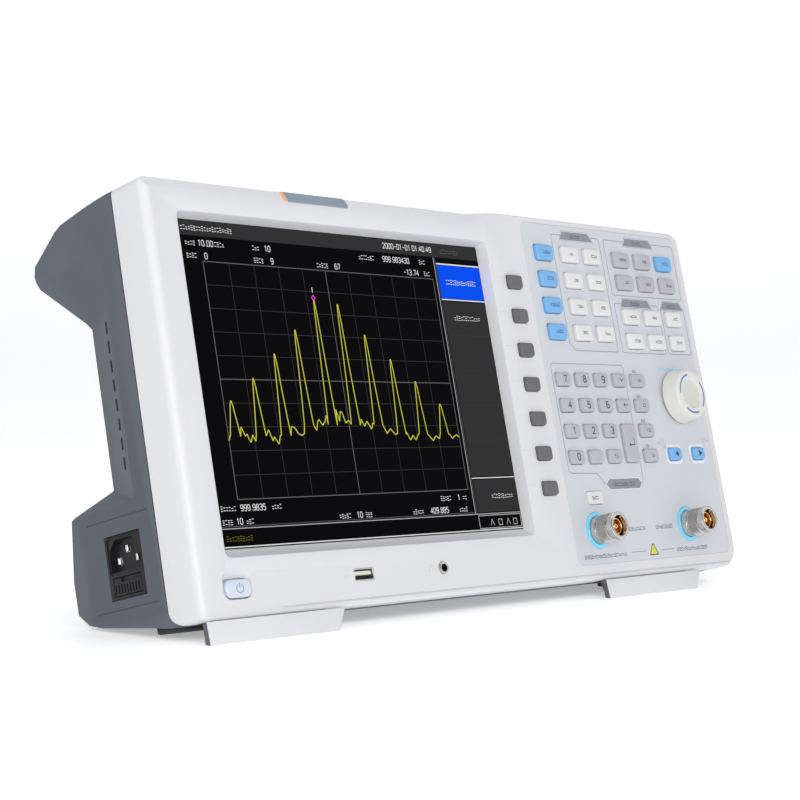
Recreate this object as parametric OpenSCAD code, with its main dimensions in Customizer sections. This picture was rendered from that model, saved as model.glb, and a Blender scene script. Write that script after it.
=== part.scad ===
// Bench spectrum analyser: white front bezel with a 10.4 inch screen, grey rear
// case with a carry bar, key panel, knob, two N connectors, side mains inlet,
// fold-out front feet. The body is drawn upright (x right, y to the rear, z up
// the face) and leaned back as it stands on its deployed feet.

/* [Body] */
// Overall width of the case
body_w = 421; // [418:1:424]
// Height of the key side of the front bezel
body_h = 210; // [209:0.5:211]
// Depth of the front bezel, from its face to the seam
bezel_d = 24; // [23.5:0.5:24.5]
// Wall thickness of the two shells
wall = 2.6; // [2.4:0.1:2.8]
// Angle the body leans back on its feet, in degrees
tilt = 12.5; // [12:0.25:13]

/* [Screen] */
// Width of the visible screen
screen_w = 211.2; // [211:0.1:211.5]
// Height of the visible screen
screen_h = 158.4; // [158:0.1:158.6]
// Depth of the screen below the bezel face
screen_y = 6; // [5.8:0.1:6.2]

/* [Keys] */
// How far the key tops stand proud of the panel
key_out = 2.5; // [2:0.1:2.8]
// Gap around each key in its hole
key_gap = 0.3; // [0.25:0.05:0.35]
// Travel of the keys
key_travel = 1.0; // [0.8:0.1:1]

/* [Knob] */
// Radius of the knob at its base
knob_r = 16.5; // [16:0.1:17]
// How far the knob stands proud of the panel
knob_h = 11; // [10.5:0.1:11.5]

/* [Connectors] */
// Outer radius of an N connector thread
n_r = 7.94; // [7.9:0.01:7.98]
// How far the N connectors stand proud of the panel
n_out = 16; // [15:0.5:17]

/* [Hidden] */

hw = body_w / 2;
e = 0.01;
floor_d = 10.3;              // floor below the body origin, square to the floor
y_shift = 59.25;             // body origin to the centre of the footprint box
z_shift = floor_d;
scr_x0 = -187.65; scr_x1 = scr_x0 + screen_w;
scr_z0 = 32; scr_z1 = scr_z0 + screen_h;
top_l = 208.4;

// floor height, in body axes, at depth y
function fl(y) = (-floor_d + y * sin(tilt)) / cos(tilt);
function arc(cx, cy, r, a0, a1, n) = [for (i = [0:n]) [cx + r * cos(a0 + (a1 - a0) * i / n), cy + r * sin(a0 + (a1 - a0) * i / n)]];

// key tables: x, z, width, height
soft_keys = [for (i = [0:6]) [43.7, 169.7 - 19.52 * i, 11.4, 7.8]];
row_z = [188.9, 173.3, 157.7, 142.1];
func_keys = [for (i = [0:3]) [74.1, row_z[i], 14.8, 9.4]];
ctrl_keys = [for (c = [97.2, 118.2], i = [0:3]) [c, row_z[i], 15, 9.4]];
util_keys = [[146.1, 188.7, 15.2, 9.2], [167.3, 188.7, 15.2, 9.2], [146.1, 174.7, 15.2, 9.2], [167.3, 174.7, 15.2, 9.2], [188.6, 174.7, 15.2, 9.2]];
pre_key = [[188.6, 188.7, 15.2, 9.2]];
mark_keys = [for (c = [146.1, 167.3], z = [153.5, 138.5]) [c, z, 15.2, 9.4]];
meas_keys = [for (z = [153.5, 138.5]) [188.6, z, 14.2, 9.4]];
num_z = [114.3, 99.3, 84.3, 69.3];
num_1 = [for (i = [0:3]) [71.5 + 17.3 * i, num_z[0], 11.8, 7.8]];
num_2 = [for (i = [0:3]) [71.5 + 17.3 * i, num_z[1], 11.8, 7.8]];
num_3 = [for (i = [0:2]) [71.5 + 17.3 * i, num_z[2], 11.8, 7.8]];
num_4 = [for (i = [0:2]) [71.5 + 17.3 * i, num_z[3], 11.8, 7.8]];
ent_key = [[123, 76.8, 12, 22.8]];
unit_ks = [for (z = num_z) [140.9, z, 12.6, 7.8]];
arr_l = [[165.2, 69.7, 10.8, 7.4]];
arr_r = [[189.1, 69.7, 10.8, 7.4]];
tg_k = [[82.2, 46, 13.6, 7.4]];
panel_keys = concat(func_keys, ctrl_keys, util_keys, pre_key, mark_keys, meas_keys, num_1, num_2, num_3, num_4, ent_key, unit_ks, arr_l, arr_r, tg_k);
all_keys = concat(soft_keys, panel_keys);
pwr = [-188.3, 13.1, 16.8, 8];
knob_x = 179.7; knob_z = 104.6;
n_rf = [166.6, 27.6]; n_tg = [80, 27.6];
usb_c = [-107, 14.7]; jack_c = [-50.6, 14.4];
pivot = [5.2, 3.6];          // foot hinge axis, y and z
pivot_r = 1.5;
feet = [[-210.3, -125, -203.5, -134], [77, 167, 84, 158]];  // blade x0 x1, neck x0 x1
drawer_y = [39.8, 61]; drawer_z = [20.3, 28.7];
fan_c = [130, 112];
bnc_x = [-150, -120, -90]; bnc_z = 125;
screw_p = [[-190, 141], [190, 141], [-190, 81], [190, 81]];

module stand() translate([0, -y_shift, z_shift]) rotate([-tilt, 0, 0]) children();
// extrude an x,z outline along y, or a y,z outline along x
module ye(y0, y1) translate([0, y1, 0]) rotate([90, 0, 0]) linear_extrude(y1 - y0) children();
module xe(x0, x1) translate([x0, 0, 0]) rotate([90, 0, 90]) linear_extrude(x1 - x0) children();
module box(a, b) translate(a) cube([b[0] - a[0], b[1] - a[1], b[2] - a[2]]);
// cylinder along y from y0 to y1
module yc(x, z, r, y0, y1, fn = 48) translate([x, y1, z]) rotate([90, 0, 0]) cylinder(r = r, h = y1 - y0, $fn = fn);
module xc(y, z, r, x0, x1, fn = 32) translate([x0, y, z]) rotate([0, 90, 0]) cylinder(r = r, h = x1 - x0, $fn = fn);
module rr(w, h, r) { square([w - 2 * r, h], center = true); square([w, h - 2 * r], center = true);
  for (i = [-1, 1], j = [-1, 1]) translate([i * (w / 2 - r), j * (h / 2 - r)]) circle(r = r, $fn = 24); }

// front outline of the bezel, inset by d
function face_pts(d) = concat(
  arc(-hw + 4, 4, 4 - d, 180, 270, 4), arc(hw - 14, 14, 14 - d, 270, 360, 8),
  arc(hw - 7, body_h - 7, 7 - d, 0, 90, 6), [[40, body_h - d], [17, top_l - d]],
  arc(-hw + 4, top_l - 4, 4 - d, 90, 180, 4));
function case_pts(d) = concat(
  arc(-hw + 4, 4, 4 - d, 180, 270, 4), arc(hw - 14, 14, 14 - d, 270, 360, 8),
  arc(hw - 7, top_l - 7, 7 - d, 0, 90, 6), arc(-hw + 4, top_l - 4, 4 - d, 90, 180, 4));

// rounded rear bottom corner of the bezel, seen from the side
heel = arc(14, 10, 10, 0, -75, 8);
module front_bezel() color("whitesmoke") difference() {
  union() {
    difference() {
      intersection() {
        ye(0, bezel_d) polygon(face_pts(0));
        translate([0, 0, -5]) linear_extrude(230) polygon(concat(arc(-hw + 3, 3, 3, 180, 270, 4), arc(hw - 5, 5, 5, 270, 360, 5), [[hw, bezel_d], [-hw, bezel_d]]));
      }
      ye(3, bezel_d + 1) polygon(face_pts(wall));
      // top strip of the screen side slopes back
      xe(-hw - 1, 17) polygon([[-0.5, 201.4], [-0.5, 212], [5.2, 212]]);
    }
    // rim that holds the screen window
    box([scr_x0 - 5, 2.5, scr_z0 - 6], [scr_x1 + 5, screen_y, scr_z1 + 3.6]);
    // foot hinge pockets seen from above
    for (f = feet) box([f[2] - 2.4, 2.5, 1], [f[3] + 2.4, 21.8, 8.3]);
    for (s = screw_p) { yc(s[0], s[1], 4.2, 16.4, bezel_d); box([min(s[0], sign(s[0]) * (hw - 1)), 16.4, s[1] - 1.5], [max(s[0], sign(s[0]) * (hw - 1)), bezel_d, s[1] + 1.5]); }
    for (x = [-165, -66]) yc(x, 18, 2.4, 2.5, 11, 24);
  }
  xe(-hw - 1, hw + 1) polygon(concat(heel, [[heel[8][0], -1], [bezel_d + 1, -1], [bezel_d + 1, 10]]));
  // screen opening with sloping walls
  hull() {
    box([scr_x0 - 4.1, -e, scr_z0 - 4.2], [scr_x1 + 2.7, 0, scr_z1 + 2.2]);
    box([scr_x0, screen_y, scr_z0], [scr_x1, screen_y + e, scr_z1]);
  }
  // recess for the overlay
  translate([131.3, 0, 107.55]) ye(-1, 0.4) rr(147, 198.1, 5);
  for (k = all_keys) translate([k[0], 0, k[1]]) ye(-1, 3.5) square([k[2] + 2 * key_gap, k[3] + 2 * key_gap], center = true);
  translate([pwr[0], 0, pwr[1]]) ye(-1, 3.5) rr(pwr[2] + 0.6, pwr[3] + 0.6, 3);
  yc(knob_x, knob_z, 3.6, -1, 4);
  for (n = [n_rf, n_tg]) { yc(n[0], n[1], 8.0, -1, 4); yc(n[0], n[1], 10.4, -1, 1.2); }
  translate([usb_c[0], 0, usb_c[1]]) ye(-1, 4) square([13.6, 6.2], center = true);
  yc(jack_c[0], jack_c[1], 3.3, -1, 4);
  // foot pockets, open below, and their hinge bores
  for (f = feet) { box([f[2] - 0.4, 1.8, -1], [f[3] + 0.4, 20.4, 6.9]); xc(pivot[0], pivot[1], pivot_r, f[2] - 2.4, f[3] + 2.4); }
  for (s = screw_p) yc(s[0], s[1], 1.6, 17.5, bezel_d + 1, 24);
}

rear_out = [[24, 0], [39, 2.6], [74, 7.4], [84, 10], [91.5, 16], [92, 32], [89, 52], [87.5, 61], [62, 71], [62, 150], [66, 154], [89.5, 177], [92, 184], [90.5, 189], [71, 201], [66, 203], [24, top_l]];
rear_in = [[15, 12], [15, 2.6], [39, 5.2], [73.5, 10], [83, 12.4], [89, 17.5], [89.4, 32], [86.4, 52], [85, 59.2], [59.4, 69.2], [59.4, 151], [64, 155.6], [87, 178.6], [89.2, 184], [88.2, 187.6], [70, 198.6], [65.5, 200.4], [23, 205.8], [23, 12]];
// hollow in the flank behind the bezel band, deepening to the rear; d is the wall left behind it
module scoop(s, d) intersection() {
  ye(36 - d, 97) polygon([[s * (hw + 1), 61 - 1.4 * d], [s * (hw - 0.3 * d), 62 - d], [s * (hw - 8 - d), 70.5 - 0.8 * d], [s * (hw - 8 - d), 154 + 0.5 * d], [s * (hw - 0.3 * d), 180 + d], [s * (hw + 1), 181 + d]]);
  translate([0, 0, 50]) linear_extrude(140) polygon([[s * (hw + 2), 37 - 1.2 * d], [s * (hw - 0.9 * d), 37 - 0.2 * d], [s * (hw - 8 - d), 62], [s * (hw - 8 - d), 98], [s * (hw + 2), 98]]);
}
module rear_shell() difference() {
  union() {
    difference() {
      intersection() { xe(-hw, hw) polygon(concat([for (p = rear_out) [p[0] < 24.5 ? bezel_d : p[0], p[1]]], [[bezel_d, 10]], heel, [[heel[8][0], 0]])); ye(13, 95) polygon(case_pts(0)); }
      difference() {
        intersection() { xe(-hw + wall, hw - wall) polygon(rear_in); ye(13, 95) polygon(case_pts(wall)); }
        for (s = [-1, 1]) scoop(s, 2.8);
        box([-64.6, 31.4, 152], [64.6, 95, 215]);
      }
      // hand slot behind the carry bar
      xe(-62, 62) polygon([[34, 215], [34, 166], [52, 158], [70, 158.1], [66, 176], [62, 182], [62, 215]]);
      // scooped sides
      for (s = [-1, 1]) scoop(s, 0);
    }
    for (s = screw_p) yc(s[0], s[1], 4.6, bezel_d, 61);
    for (x = [-150, 150]) xe(x - 14, x + 14) polygon([[70, 8], [84, 10.6], [86, 12.5], [86, 15], [70, 15]]);
  }
  // mains inlet opening in the left side
  box([-hw - 1, 36.7, 18.3], [-hw + 4, 64.1, 48.7]);
  // side vents on both flanks
  for (s = [-1, 1], i = [0:7]) translate([s * (hw - 2.6), 43, 80.3 + i * 9.36]) cube([9, 2.4, 6], center = true);
  // rear fan grille
  for (i = [-4:4]) box([fan_c[0] - sqrt(900 - 36 * i * i) + 2, 58, fan_c[1] + i * 6 - 1.4], [fan_c[0] + sqrt(900 - 36 * i * i) - 2, 63, fan_c[1] + i * 6 + 1.4]);
  for (x = bnc_x) yc(x, bnc_z, 5.2, 58, 63);
  // data port windows
  box([-146.6, 58, 85.4], [-130, 63, 99]);
  box([-120.4, 58, 85.4], [-107.8, 63, 97]);
  box([-96.4, 58, 85.4], [-65, 63, 98]);
  for (s = screw_p) { yc(s[0], s[1], 2.2, 20, 64, 24); yc(s[0], s[1], 4.0, 59.6, 64); }
  // seats of the rear rubber feet
  for (x = [-150, 150]) xe(x - 11.2, x + 11.2) polygon([[73.8, 11.2], [84.2, 12.6], [84.2, 0], [73.8, 0]]);
  // room for the foot pockets
  for (f = feet) box([f[2] - 0.4, 10, -1], [f[3] + 0.4, 20.4, 6.9]);
}
back_y = 62;                 // joint plane of the case with its carry bar and skirt
module rear_case() color("slategray") difference() { rear_shell(); box([-hw - 1, back_y, 150.4], [hw + 1, 100, 220]); box([-hw - 1, back_y, -5], [hw + 1, 100, 70.6]); }
module carry_bar() color("slategray") intersection() { rear_shell(); box([-hw - 1, back_y, 150.4], [hw + 1, 100, 220]); }
module rear_skirt() color("slategray") intersection() { rear_shell(); box([-hw - 1, back_y, -5], [hw + 1, 100, 70.6]); }

module panel_overlay() color("lightsteelblue") difference() {
  translate([131.3, 0, 107.55]) ye(0, 0.4) rr(146.8, 197.9, 5);
  for (k = panel_keys) translate([k[0], 0, k[1]]) ye(-1, 1) square([k[2] + 2 * key_gap, k[3] + 2 * key_gap], center = true);
  yc(knob_x, knob_z, 4.2, -1, 1);
  for (n = [n_rf, n_tg]) yc(n[0], n[1], 10.5, -1, 1);
}

module display_window() color("dimgray") box([scr_x0 - 4.5, screen_y, scr_z0 - 5.5], [scr_x1 + 4.5, screen_y + 1.2, scr_z1 + 3.2]);

module lcd_module() color("silver") {
  box([-198, screen_y + 1.2, 24], [33.5, 14, 198]);
}

module chassis_plate() color("gainsboro") difference() {
  union() {
    box([-203, 14, 24], [203, 15.2, 202]);
    box([-203, 15.2, 24], [-201.8, 23, 202]);
    box([201.8, 15.2, 24], [203, 23, 202]);
    for (x = [40, 204 - 3.4, 132], z = [60.5, 199]) yc(x, z, 2.2, 9.5, 14, 24);
    for (x = [-182, -20, 150], z = [60, 180]) yc(x, z, 2.6, 15.2, 24, 24);
    for (x = [-168, -68], z = [28, 48]) yc(x, z, 2.6, 15.2, 30, 24);
    for (x = [46, 123, 190]) yc(x, 34, 2.6, 15.2, 27, 24);
    for (x = [42, 94]) yc(x, 46, 2, 10.4, 14, 24);
  }
  for (s = screw_p) { yc(s[0], s[1], 5.2, 13, 24); box([min(s[0], sign(s[0]) * hw), 15.4, s[1] - 3], [max(s[0], sign(s[0]) * hw), 24, s[1] + 3]); }
  for (n = [n_rf, n_tg]) yc(n[0], n[1], 11, 13, 24);
}

module main_board() color("darkgreen") {
  difference() {
    box([-184, 24, 54], [176, 25.6, 190]);
    for (s = screw_p) yc(s[0], s[1], 5.4, 23, 27);
  }
  box([-120, 25.6, 100], [-92, 28, 128]);
  box([-60, 25.6, 110], [-36, 27.6, 134]);
  box([-20, 25.6, 80], [-2, 27.4, 98]);
  box([20, 25.6, 120], [50, 31, 150]);
}

// milled case with a semi-rigid coax link up to each N jack
module rf_module() color("silver") {
  difference() {
    union() { box([40, 27, 12], [196, 56, 50]); box([60, 56, 20], [180, 58, 44]); }
    box([46, 57, 24], [66, 60, 40]);
  }
  for (n = [n_rf, n_tg]) { yc(n[0], n[1], 1.8, 13, 28, 32); yc(n[0], n[1], 2.8, 23, 28, 6); }
}

module power_supply() color("seagreen") {
  box([-176, 30, 12], [-60, 31.6, 52]);
  box([-170, 31.6, 16], [-146, 56, 48]);
  box([-138, 31.6, 18], [-110, 58, 46]);
  for (x = [-98, -78]) yc(x, 32, 8, 31.6, 60);
}

module fan_frame() color("dimgray") difference() {
  box([fan_c[0] - 30, 44.4, fan_c[1] - 30], [fan_c[0] + 30, 59.4, fan_c[1] + 30]);
  difference() { yc(fan_c[0], fan_c[1], 28.4, 43, 60, 64);
    yc(fan_c[0], fan_c[1], 12, 44.4, 46.2);
    for (a = [45:90:315]) translate([fan_c[0], 45.4, fan_c[1]]) rotate([0, a, 0]) translate([10, -1, -1.5]) cube([20, 1.8, 3]);
    yc(fan_c[0], fan_c[1], 2.2, 46, 53, 32);
  }
}
module fan_rotor() color("black") translate([fan_c[0], 0, fan_c[1]]) difference() {
  union() {
    yc(0, 0, 12, 46.6, 57.6);
    for (i = [0:6]) rotate([0, i * 360 / 7, 0]) translate([11, 51.5, 0]) rotate([35, 0, 0]) translate([0, -0.7, -6]) cube([16, 1.4, 12]);
  }
  yc(0, 0, 2.25, 45, 53.6, 32);
}

// key board, connector board and output-key board
module front_boards() color("darkgreen") {
  difference() {
    box([35.5, 7.9, 58], [206.5, 9.5, 201.5]);
    yc(knob_x, knob_z, 5, 7, 10);
  }
  box([-198, 11, 10.6], [-40, 12.6, 23.6]);
  box([36, 9, 42], [100, 10.4, 56.5]);
  yc(pwr[0], pwr[1], 2.4, 8, 11, 24);
  for (k = [soft_keys[6], tg_k[0]]) yc(k[0], k[1], 2.2, 6.4, 9, 24);
}
module keypad_mat() color("gray") difference() {
  union() {
    box([36, 6.8, 58.6], [206, 7.9, 201]);
    for (k = all_keys) if (k[1] > 62) translate([k[0], 0, k[1]]) yc(0, 0, 2.2, 6.4, 6.9, 24);
  }
  box([knob_x - 8, 6, knob_z - 8], [knob_x + 8, 9, knob_z + 8]);
}
module encoder_body() color("gray") difference() {
  union() { box([knob_x - 7, 3.4, knob_z - 7], [knob_x + 7, 7.9, knob_z + 7]); yc(knob_x, knob_z, 3.4, -0.8, 3.4, 32); }
  yc(knob_x, knob_z, 3.05, -2, 7, 48);
}
module encoder_shaft() color("silver") difference() {
  yc(knob_x, knob_z, 3, -9, 6.6, 48);
  box([knob_x - 4, -9.5, knob_z + 1.6], [knob_x + 4, -3, knob_z + 4]);
}
module knob() color("ivory") translate([knob_x, 0, knob_z]) rotate([90, 0, 0]) rotate_extrude($fn = 96) polygon([[3, 1.2], [knob_r - 1.8, 1.2], [knob_r - 1.8, 1.0], [knob_r, 1.0], [knob_r, 2.0], [knob_r - 0.5, 5], [knob_r - 1.6, knob_h - 1.4], [knob_r - 2.6, knob_h], [knob_r - 7.5, knob_h], [knob_r - 8.5, knob_h - 1.2], [0, knob_h - 1.2], [0, 9], [3, 9]]);

// N jack: barrel with a plain thread cylinder, bore, centre contact, nut
module n_jack(c) translate([c[0], 0, c[1]]) rotate([90, 0, 0]) rotate_extrude($fn = 96) polygon([
  [0, -13], [0, 13], [0.9, 13], [1.5, 12.4], [1.5, 6], [4.2, 6], [4.2, n_out], [6.9, n_out], [n_r, n_out - 1], [n_r, n_out - 9.6],
  [7.1, n_out - 10], [7.1, n_out - 10.8], [n_r, n_out - 11.2], [n_r, -3.2], [10.6, -3.2], [10.6, -6.6], [6.4, -6.6], [6.4, -9], [3.2, -9.2], [3.2, -13]]);
module rf_input_connector() color("silver") n_jack(n_rf);
module tg_output_connector() color("silver") n_jack(n_tg);
module connector_rings() color("skyblue") for (n = [n_rf, n_tg]) difference() { yc(n[0], n[1], 10.3, -0.8, 1.2, 64); yc(n[0], n[1], 8.1, -2, 2, 64); }

module usb_port() color("silver") translate([usb_c[0], 0, usb_c[1]]) difference() {
  ye(0.2, 11) square([13.2, 5.8], center = true);
  difference() { ye(-1, 10) square([12.4, 5], center = true); box([-5.6, 1.4, -0.2], [5.6, 10.5, 1.7]); }
}
module audio_jack() color("silver") translate([jack_c[0], 0, jack_c[1]]) difference() {
  union() { yc(0, 0, 3.2, -0.9, 4, 48); box([-4.5, 3.6, -5], [4.5, 11, 5]); }
  yc(0, 0, 1.78, -2, 9, 48);
}

module ac_inlet() color("black") difference() {
  union() { box([-210.4, 36.9, 18.5], [-183, 63.9, 48.5]); box([-206.8, 34.9, 16.6], [-204, 66, 50.4]); }
  ye(38.9, 61.9) polygon([[-211, 31.4], [-194, 31.4], [-194, 46.6], [-211, 46.6]]);
  box([-211, drawer_y[0] - 0.3, drawer_z[0] - 0.3], [-188.4, drawer_y[1] + 0.3, drawer_z[1] + 0.3]);
}
module inlet_pins() for (p = [[43.4, 36.4], [57.4, 36.4], [50.4, 41.6]]) box([-208.5, p[0] - 1, p[1] - 2], [-193.4, p[0] + 1, p[1] + 2]);
module fuse_drawer() color("black") difference() {
  union() { box([-210.4, drawer_y[0], drawer_z[0]], [-189, drawer_y[1], drawer_z[1]]); }
  box([-207.6, drawer_y[0] + 0.5, 22], [-193.6, drawer_y[1] - 0.5, 30]);
  box([-212, 46, 26.4], [-209.4, 55, 30]);
}
module fuses() color("lightcyan") for (x = [-204.4, -197.2]) translate([x, drawer_y[0] + 0.5, 24.6]) rotate([-90, 0, 0]) cylinder(r = 2.5, h = 20, $fn = 32);

// fold-out foot: blade in front, neck up to the hinge barrel
module foot(f) difference() {
  union() {
    difference() {
      xe(f[0], f[1]) polygon([[-1.9, -0.4], [-2.6, fl(-2.6)], [0.9, fl(0.9)], [0.9, -0.4]]);
      // right end of the blade is cut at a slant
      ye(-6, 8) polygon([[f[1], -0.4], [f[1] - 7.1, -12.5], [f[1] + 5, -12.5], [f[1] + 5, -0.4]]);
    }
    xe(f[2], f[3]) polygon([[0.5, -0.4], [0.5, fl(0.5)], [3.4, fl(3.4)], [6.8, -5.6], [8, -0.6], [7.9, pivot[1]], [2.6, pivot[1]], [2.5, -0.4]]);
    xc(pivot[0], pivot[1], 2.8, f[2], f[3]);
  }
  xc(pivot[0], pivot[1], pivot_r + 0.05, f[2] - 1, f[3] + 1);
}
module foot_left() color("whitesmoke") foot(feet[0]);
module foot_right() color("whitesmoke") foot(feet[1]);
module foot_pins() color("silver") for (f = feet) xc(pivot[0], pivot[1], pivot_r, f[2] - 2.4, f[3] + 2.4);
// rear feet, and skids under the case behind the front feet
module rubber_feet() color("black") {
  for (x = [-150, 150]) xe(x - 11, x + 11) polygon([[74, 11.2], [74, fl(74)], [84, fl(84)], [84, 12.5]]);
  for (x = [[-207.5, -130], [118, 168]]) xe(x[0], x[1]) polygon([[21.6, 0], [24, 0], [37.5, 2.6 * 13.5 / 15], [37.2, -0.6], [35.8, -1.3], [22.4, -1.7], [21.6, -1]]);
}

module bnc(x) translate([x, 0, bnc_z]) rotate([-90, 0, 0]) difference() {
  union() {
    translate([0, 0, 50]) cylinder(r = 4.6, h = 12, $fn = 48);
    translate([0, 0, 55.4]) cylinder(r = 7, h = 4, $fn = 48);
    translate([0, 0, 62]) cylinder(r = 7, h = 2.4, $fn = 6);
    translate([0, 0, 62]) cylinder(r = 4.8, h = 13.5, $fn = 48);
  }
  difference() { translate([0, 0, 66]) cylinder(r = 4.05, h = 20, $fn = 48); translate([0, 0, 60]) cylinder(r = 1.1, h = 13, $fn = 24); }
}
module rear_bnc_connectors() color("silver") for (x = bnc_x) bnc(x);
// network, device and display ports behind moulded dust covers
module rear_data_ports() color("black") for (p = [[-146.4, -130.2, 98.8], [-120.2, -108, 96.8], [-96.2, -65.2, 97.8]]) {
  box([p[0], 48, 85.6], [p[1], 62.4, p[2]]);
  box([p[0] + 2, 62.4, 87.4], [p[1] - 2, 63.4, p[2] - 2]);
}
module case_screws() color("silver") for (s = screw_p) difference() {
  union() { yc(s[0], s[1], 1.6, 17.6, 59.6, 24); yc(s[0], s[1], 3.6, 59.6, 61.8, 32); }
  box([s[0] - 2.2, 60.8, s[1] - 0.4], [s[0] + 2.2, 62, s[1] + 0.4]);
  box([s[0] - 0.4, 60.8, s[1] - 2.2], [s[0] + 0.4, 62, s[1] + 2.2]);
}
slope = atan(5.7 / 10.6);
module trim_strip() color("slategray") translate([0, -0.5, 201.4]) rotate([-slope, 0, 0]) {
  translate([-98.4, 0, 4.5]) ye(-0.7, 0) rr(42.2, 6.7, 2);
  translate([-118.5, 0, 4.5]) ye(-0.7, 0) square([6, 6.7], center = true);
}
// a key: cap through its hole, flange behind the panel, plunger
module cap(k, r = 1.6, out = key_out) translate([k[0], 0, k[1]]) {
  ye(-out + 0.5, 3.4) rr(k[2], k[3], r);
  ye(-out, -out + 0.5) rr(k[2] - 1, k[3] - 1, r);
  ye(3.1, 4.1) square([k[2] + 2, k[3] + 2], center = true);
  yc(0, 0, 1.8, 4.1, 5.2, 24);
}
module caps(ks) for (k = ks) cap(k);
module power_button() color("lightblue") translate([pwr[0], 0, pwr[1]]) {
  ye(-1.2, 3.4) rr(pwr[2], pwr[3], 2.8);
  ye(3.1, 4.4) square([pwr[2] + 2.4, pwr[3] + 1], center = true);
  yc(0, 0, 2, 4.4, 6.6, 24);
}
module tg_key() color("lightgray") cap(tg_k[0], 1.2, 1);
module softkey(i) color("dimgray") cap(soft_keys[i]);
module function_key(i) color("cornflowerblue") cap(func_keys[i], 2);
module preset_key() color("cornflowerblue") caps(pre_key);
module enter_key() color("silver") caps(ent_key);
module arrow_key_left() color("cornflowerblue") caps(arr_l);
module arrow_key_right() color("cornflowerblue") caps(arr_r);
module control_keys() color("whitesmoke") caps(ctrl_keys);
module utility_keys() color("silver") caps(util_keys);
module marker_keys() color("whitesmoke") caps(mark_keys);
module measure_keys() color("whitesmoke") caps(meas_keys);
module number_row_1() color("silver") caps(num_1);
module number_row_2() color("silver") caps(num_2);
module number_row_3() color("silver") caps(num_3);
module number_row_4() color("silver") caps(num_4);
module unit_keys() color("silver") caps(unit_ks);

stand() front_bezel();
stand() rear_case();
stand() carry_bar();
stand() rear_skirt();
stand() panel_overlay();
stand() display_window();
stand() lcd_module();
stand() chassis_plate();
stand() main_board();
stand() rf_module();
stand() power_supply();
stand() fan_frame();
stand() fan_rotor();
stand() front_boards();
stand() keypad_mat();
stand() encoder_body();
stand() encoder_shaft();
stand() knob();
stand() rf_input_connector();
stand() tg_output_connector();
stand() connector_rings();
stand() usb_port();
stand() audio_jack();
stand() { ac_inlet(); color("silver") inlet_pins(); }
stand() fuse_drawer();
stand() fuses();
stand() foot_left();
stand() foot_right();
stand() foot_pins();
stand() rubber_feet();
stand() rear_bnc_connectors();
stand() rear_data_ports();
stand() case_screws();
stand() trim_strip();
stand() power_button();
stand() tg_key();
stand() softkey(0);  // softkey_1
stand() softkey(1);  // softkey_2
stand() softkey(2);  // softkey_3
stand() softkey(3);  // softkey_4
stand() softkey(4);  // softkey_5
stand() softkey(5);  // softkey_6
stand() softkey(6);  // softkey_7
stand() function_key(0);  // function_key_1
stand() function_key(1);  // function_key_2
stand() function_key(2);  // function_key_3
stand() function_key(3);  // function_key_4
stand() preset_key();
stand() enter_key();
stand() arrow_key_left();
stand() arrow_key_right();
stand() control_keys();
stand() utility_keys();
stand() marker_keys();
stand() measure_keys();
stand() number_row_1();
stand() number_row_2();
stand() number_row_3();
stand() number_row_4();
stand() unit_keys();
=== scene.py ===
import bpy, bmesh, math, random
from mathutils import Vector, Matrix


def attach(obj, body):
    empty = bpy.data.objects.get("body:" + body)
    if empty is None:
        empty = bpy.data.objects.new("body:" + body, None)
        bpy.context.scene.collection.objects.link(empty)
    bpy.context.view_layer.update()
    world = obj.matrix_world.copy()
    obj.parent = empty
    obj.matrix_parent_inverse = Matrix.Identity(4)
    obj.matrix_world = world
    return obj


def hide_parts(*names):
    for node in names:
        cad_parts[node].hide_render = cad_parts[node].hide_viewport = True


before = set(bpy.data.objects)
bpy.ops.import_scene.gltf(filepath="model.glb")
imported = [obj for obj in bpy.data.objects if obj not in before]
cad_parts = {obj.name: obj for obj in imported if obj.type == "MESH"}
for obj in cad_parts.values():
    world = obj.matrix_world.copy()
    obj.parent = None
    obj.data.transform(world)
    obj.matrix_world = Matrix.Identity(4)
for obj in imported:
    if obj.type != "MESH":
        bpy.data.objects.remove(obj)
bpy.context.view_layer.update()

# ---------------------------------------------------------------- frame
TILT = math.radians(12.5); YS = 59.25; ZS = 10.3
C_, S_ = math.cos(TILT), math.sin(TILT)
M_ROW = Matrix.Translation((0, -YS / 1000, ZS / 1000)) @ Matrix.Rotation(-TILT, 4, 'X') @ Matrix.Scale(0.001, 4)
HW = 210.5; BH = 210.0; TOPL = 208.4; BD = 24.0; WALL = 2.6
SX0, SZ0, SW, SH, SY = -187.65, 32.0, 211.2, 158.4, 6.0
SX1, SZ1 = SX0 + SW, SZ0 + SH
rnd = random.Random(7)

# ---------------------------------------------------------------- camera
cam_d = bpy.data.cameras.new("Camera"); cam = bpy.data.objects.new("Camera", cam_d)
bpy.context.scene.collection.objects.link(cam)
cam.location = (-0.726425, -0.682770, 0.100329)
cam.rotation_euler = (math.radians(90.57338), math.radians(0.13630), math.radians(-45.80484))
cam_d.lens = 81.619; cam_d.sensor_width = 36; cam_d.clip_start = 0.01; cam_d.clip_end = 50
bpy.context.scene.camera = cam
bpy.context.scene.view_settings.view_transform = "Standard"

# ---------------------------------------------------------------- materials
def new_mat(name):
    m = bpy.data.materials.new(name); m.use_nodes = True
    nt = m.node_tree; b = nt.nodes["Principled BSDF"]
    return m, nt, b

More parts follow.
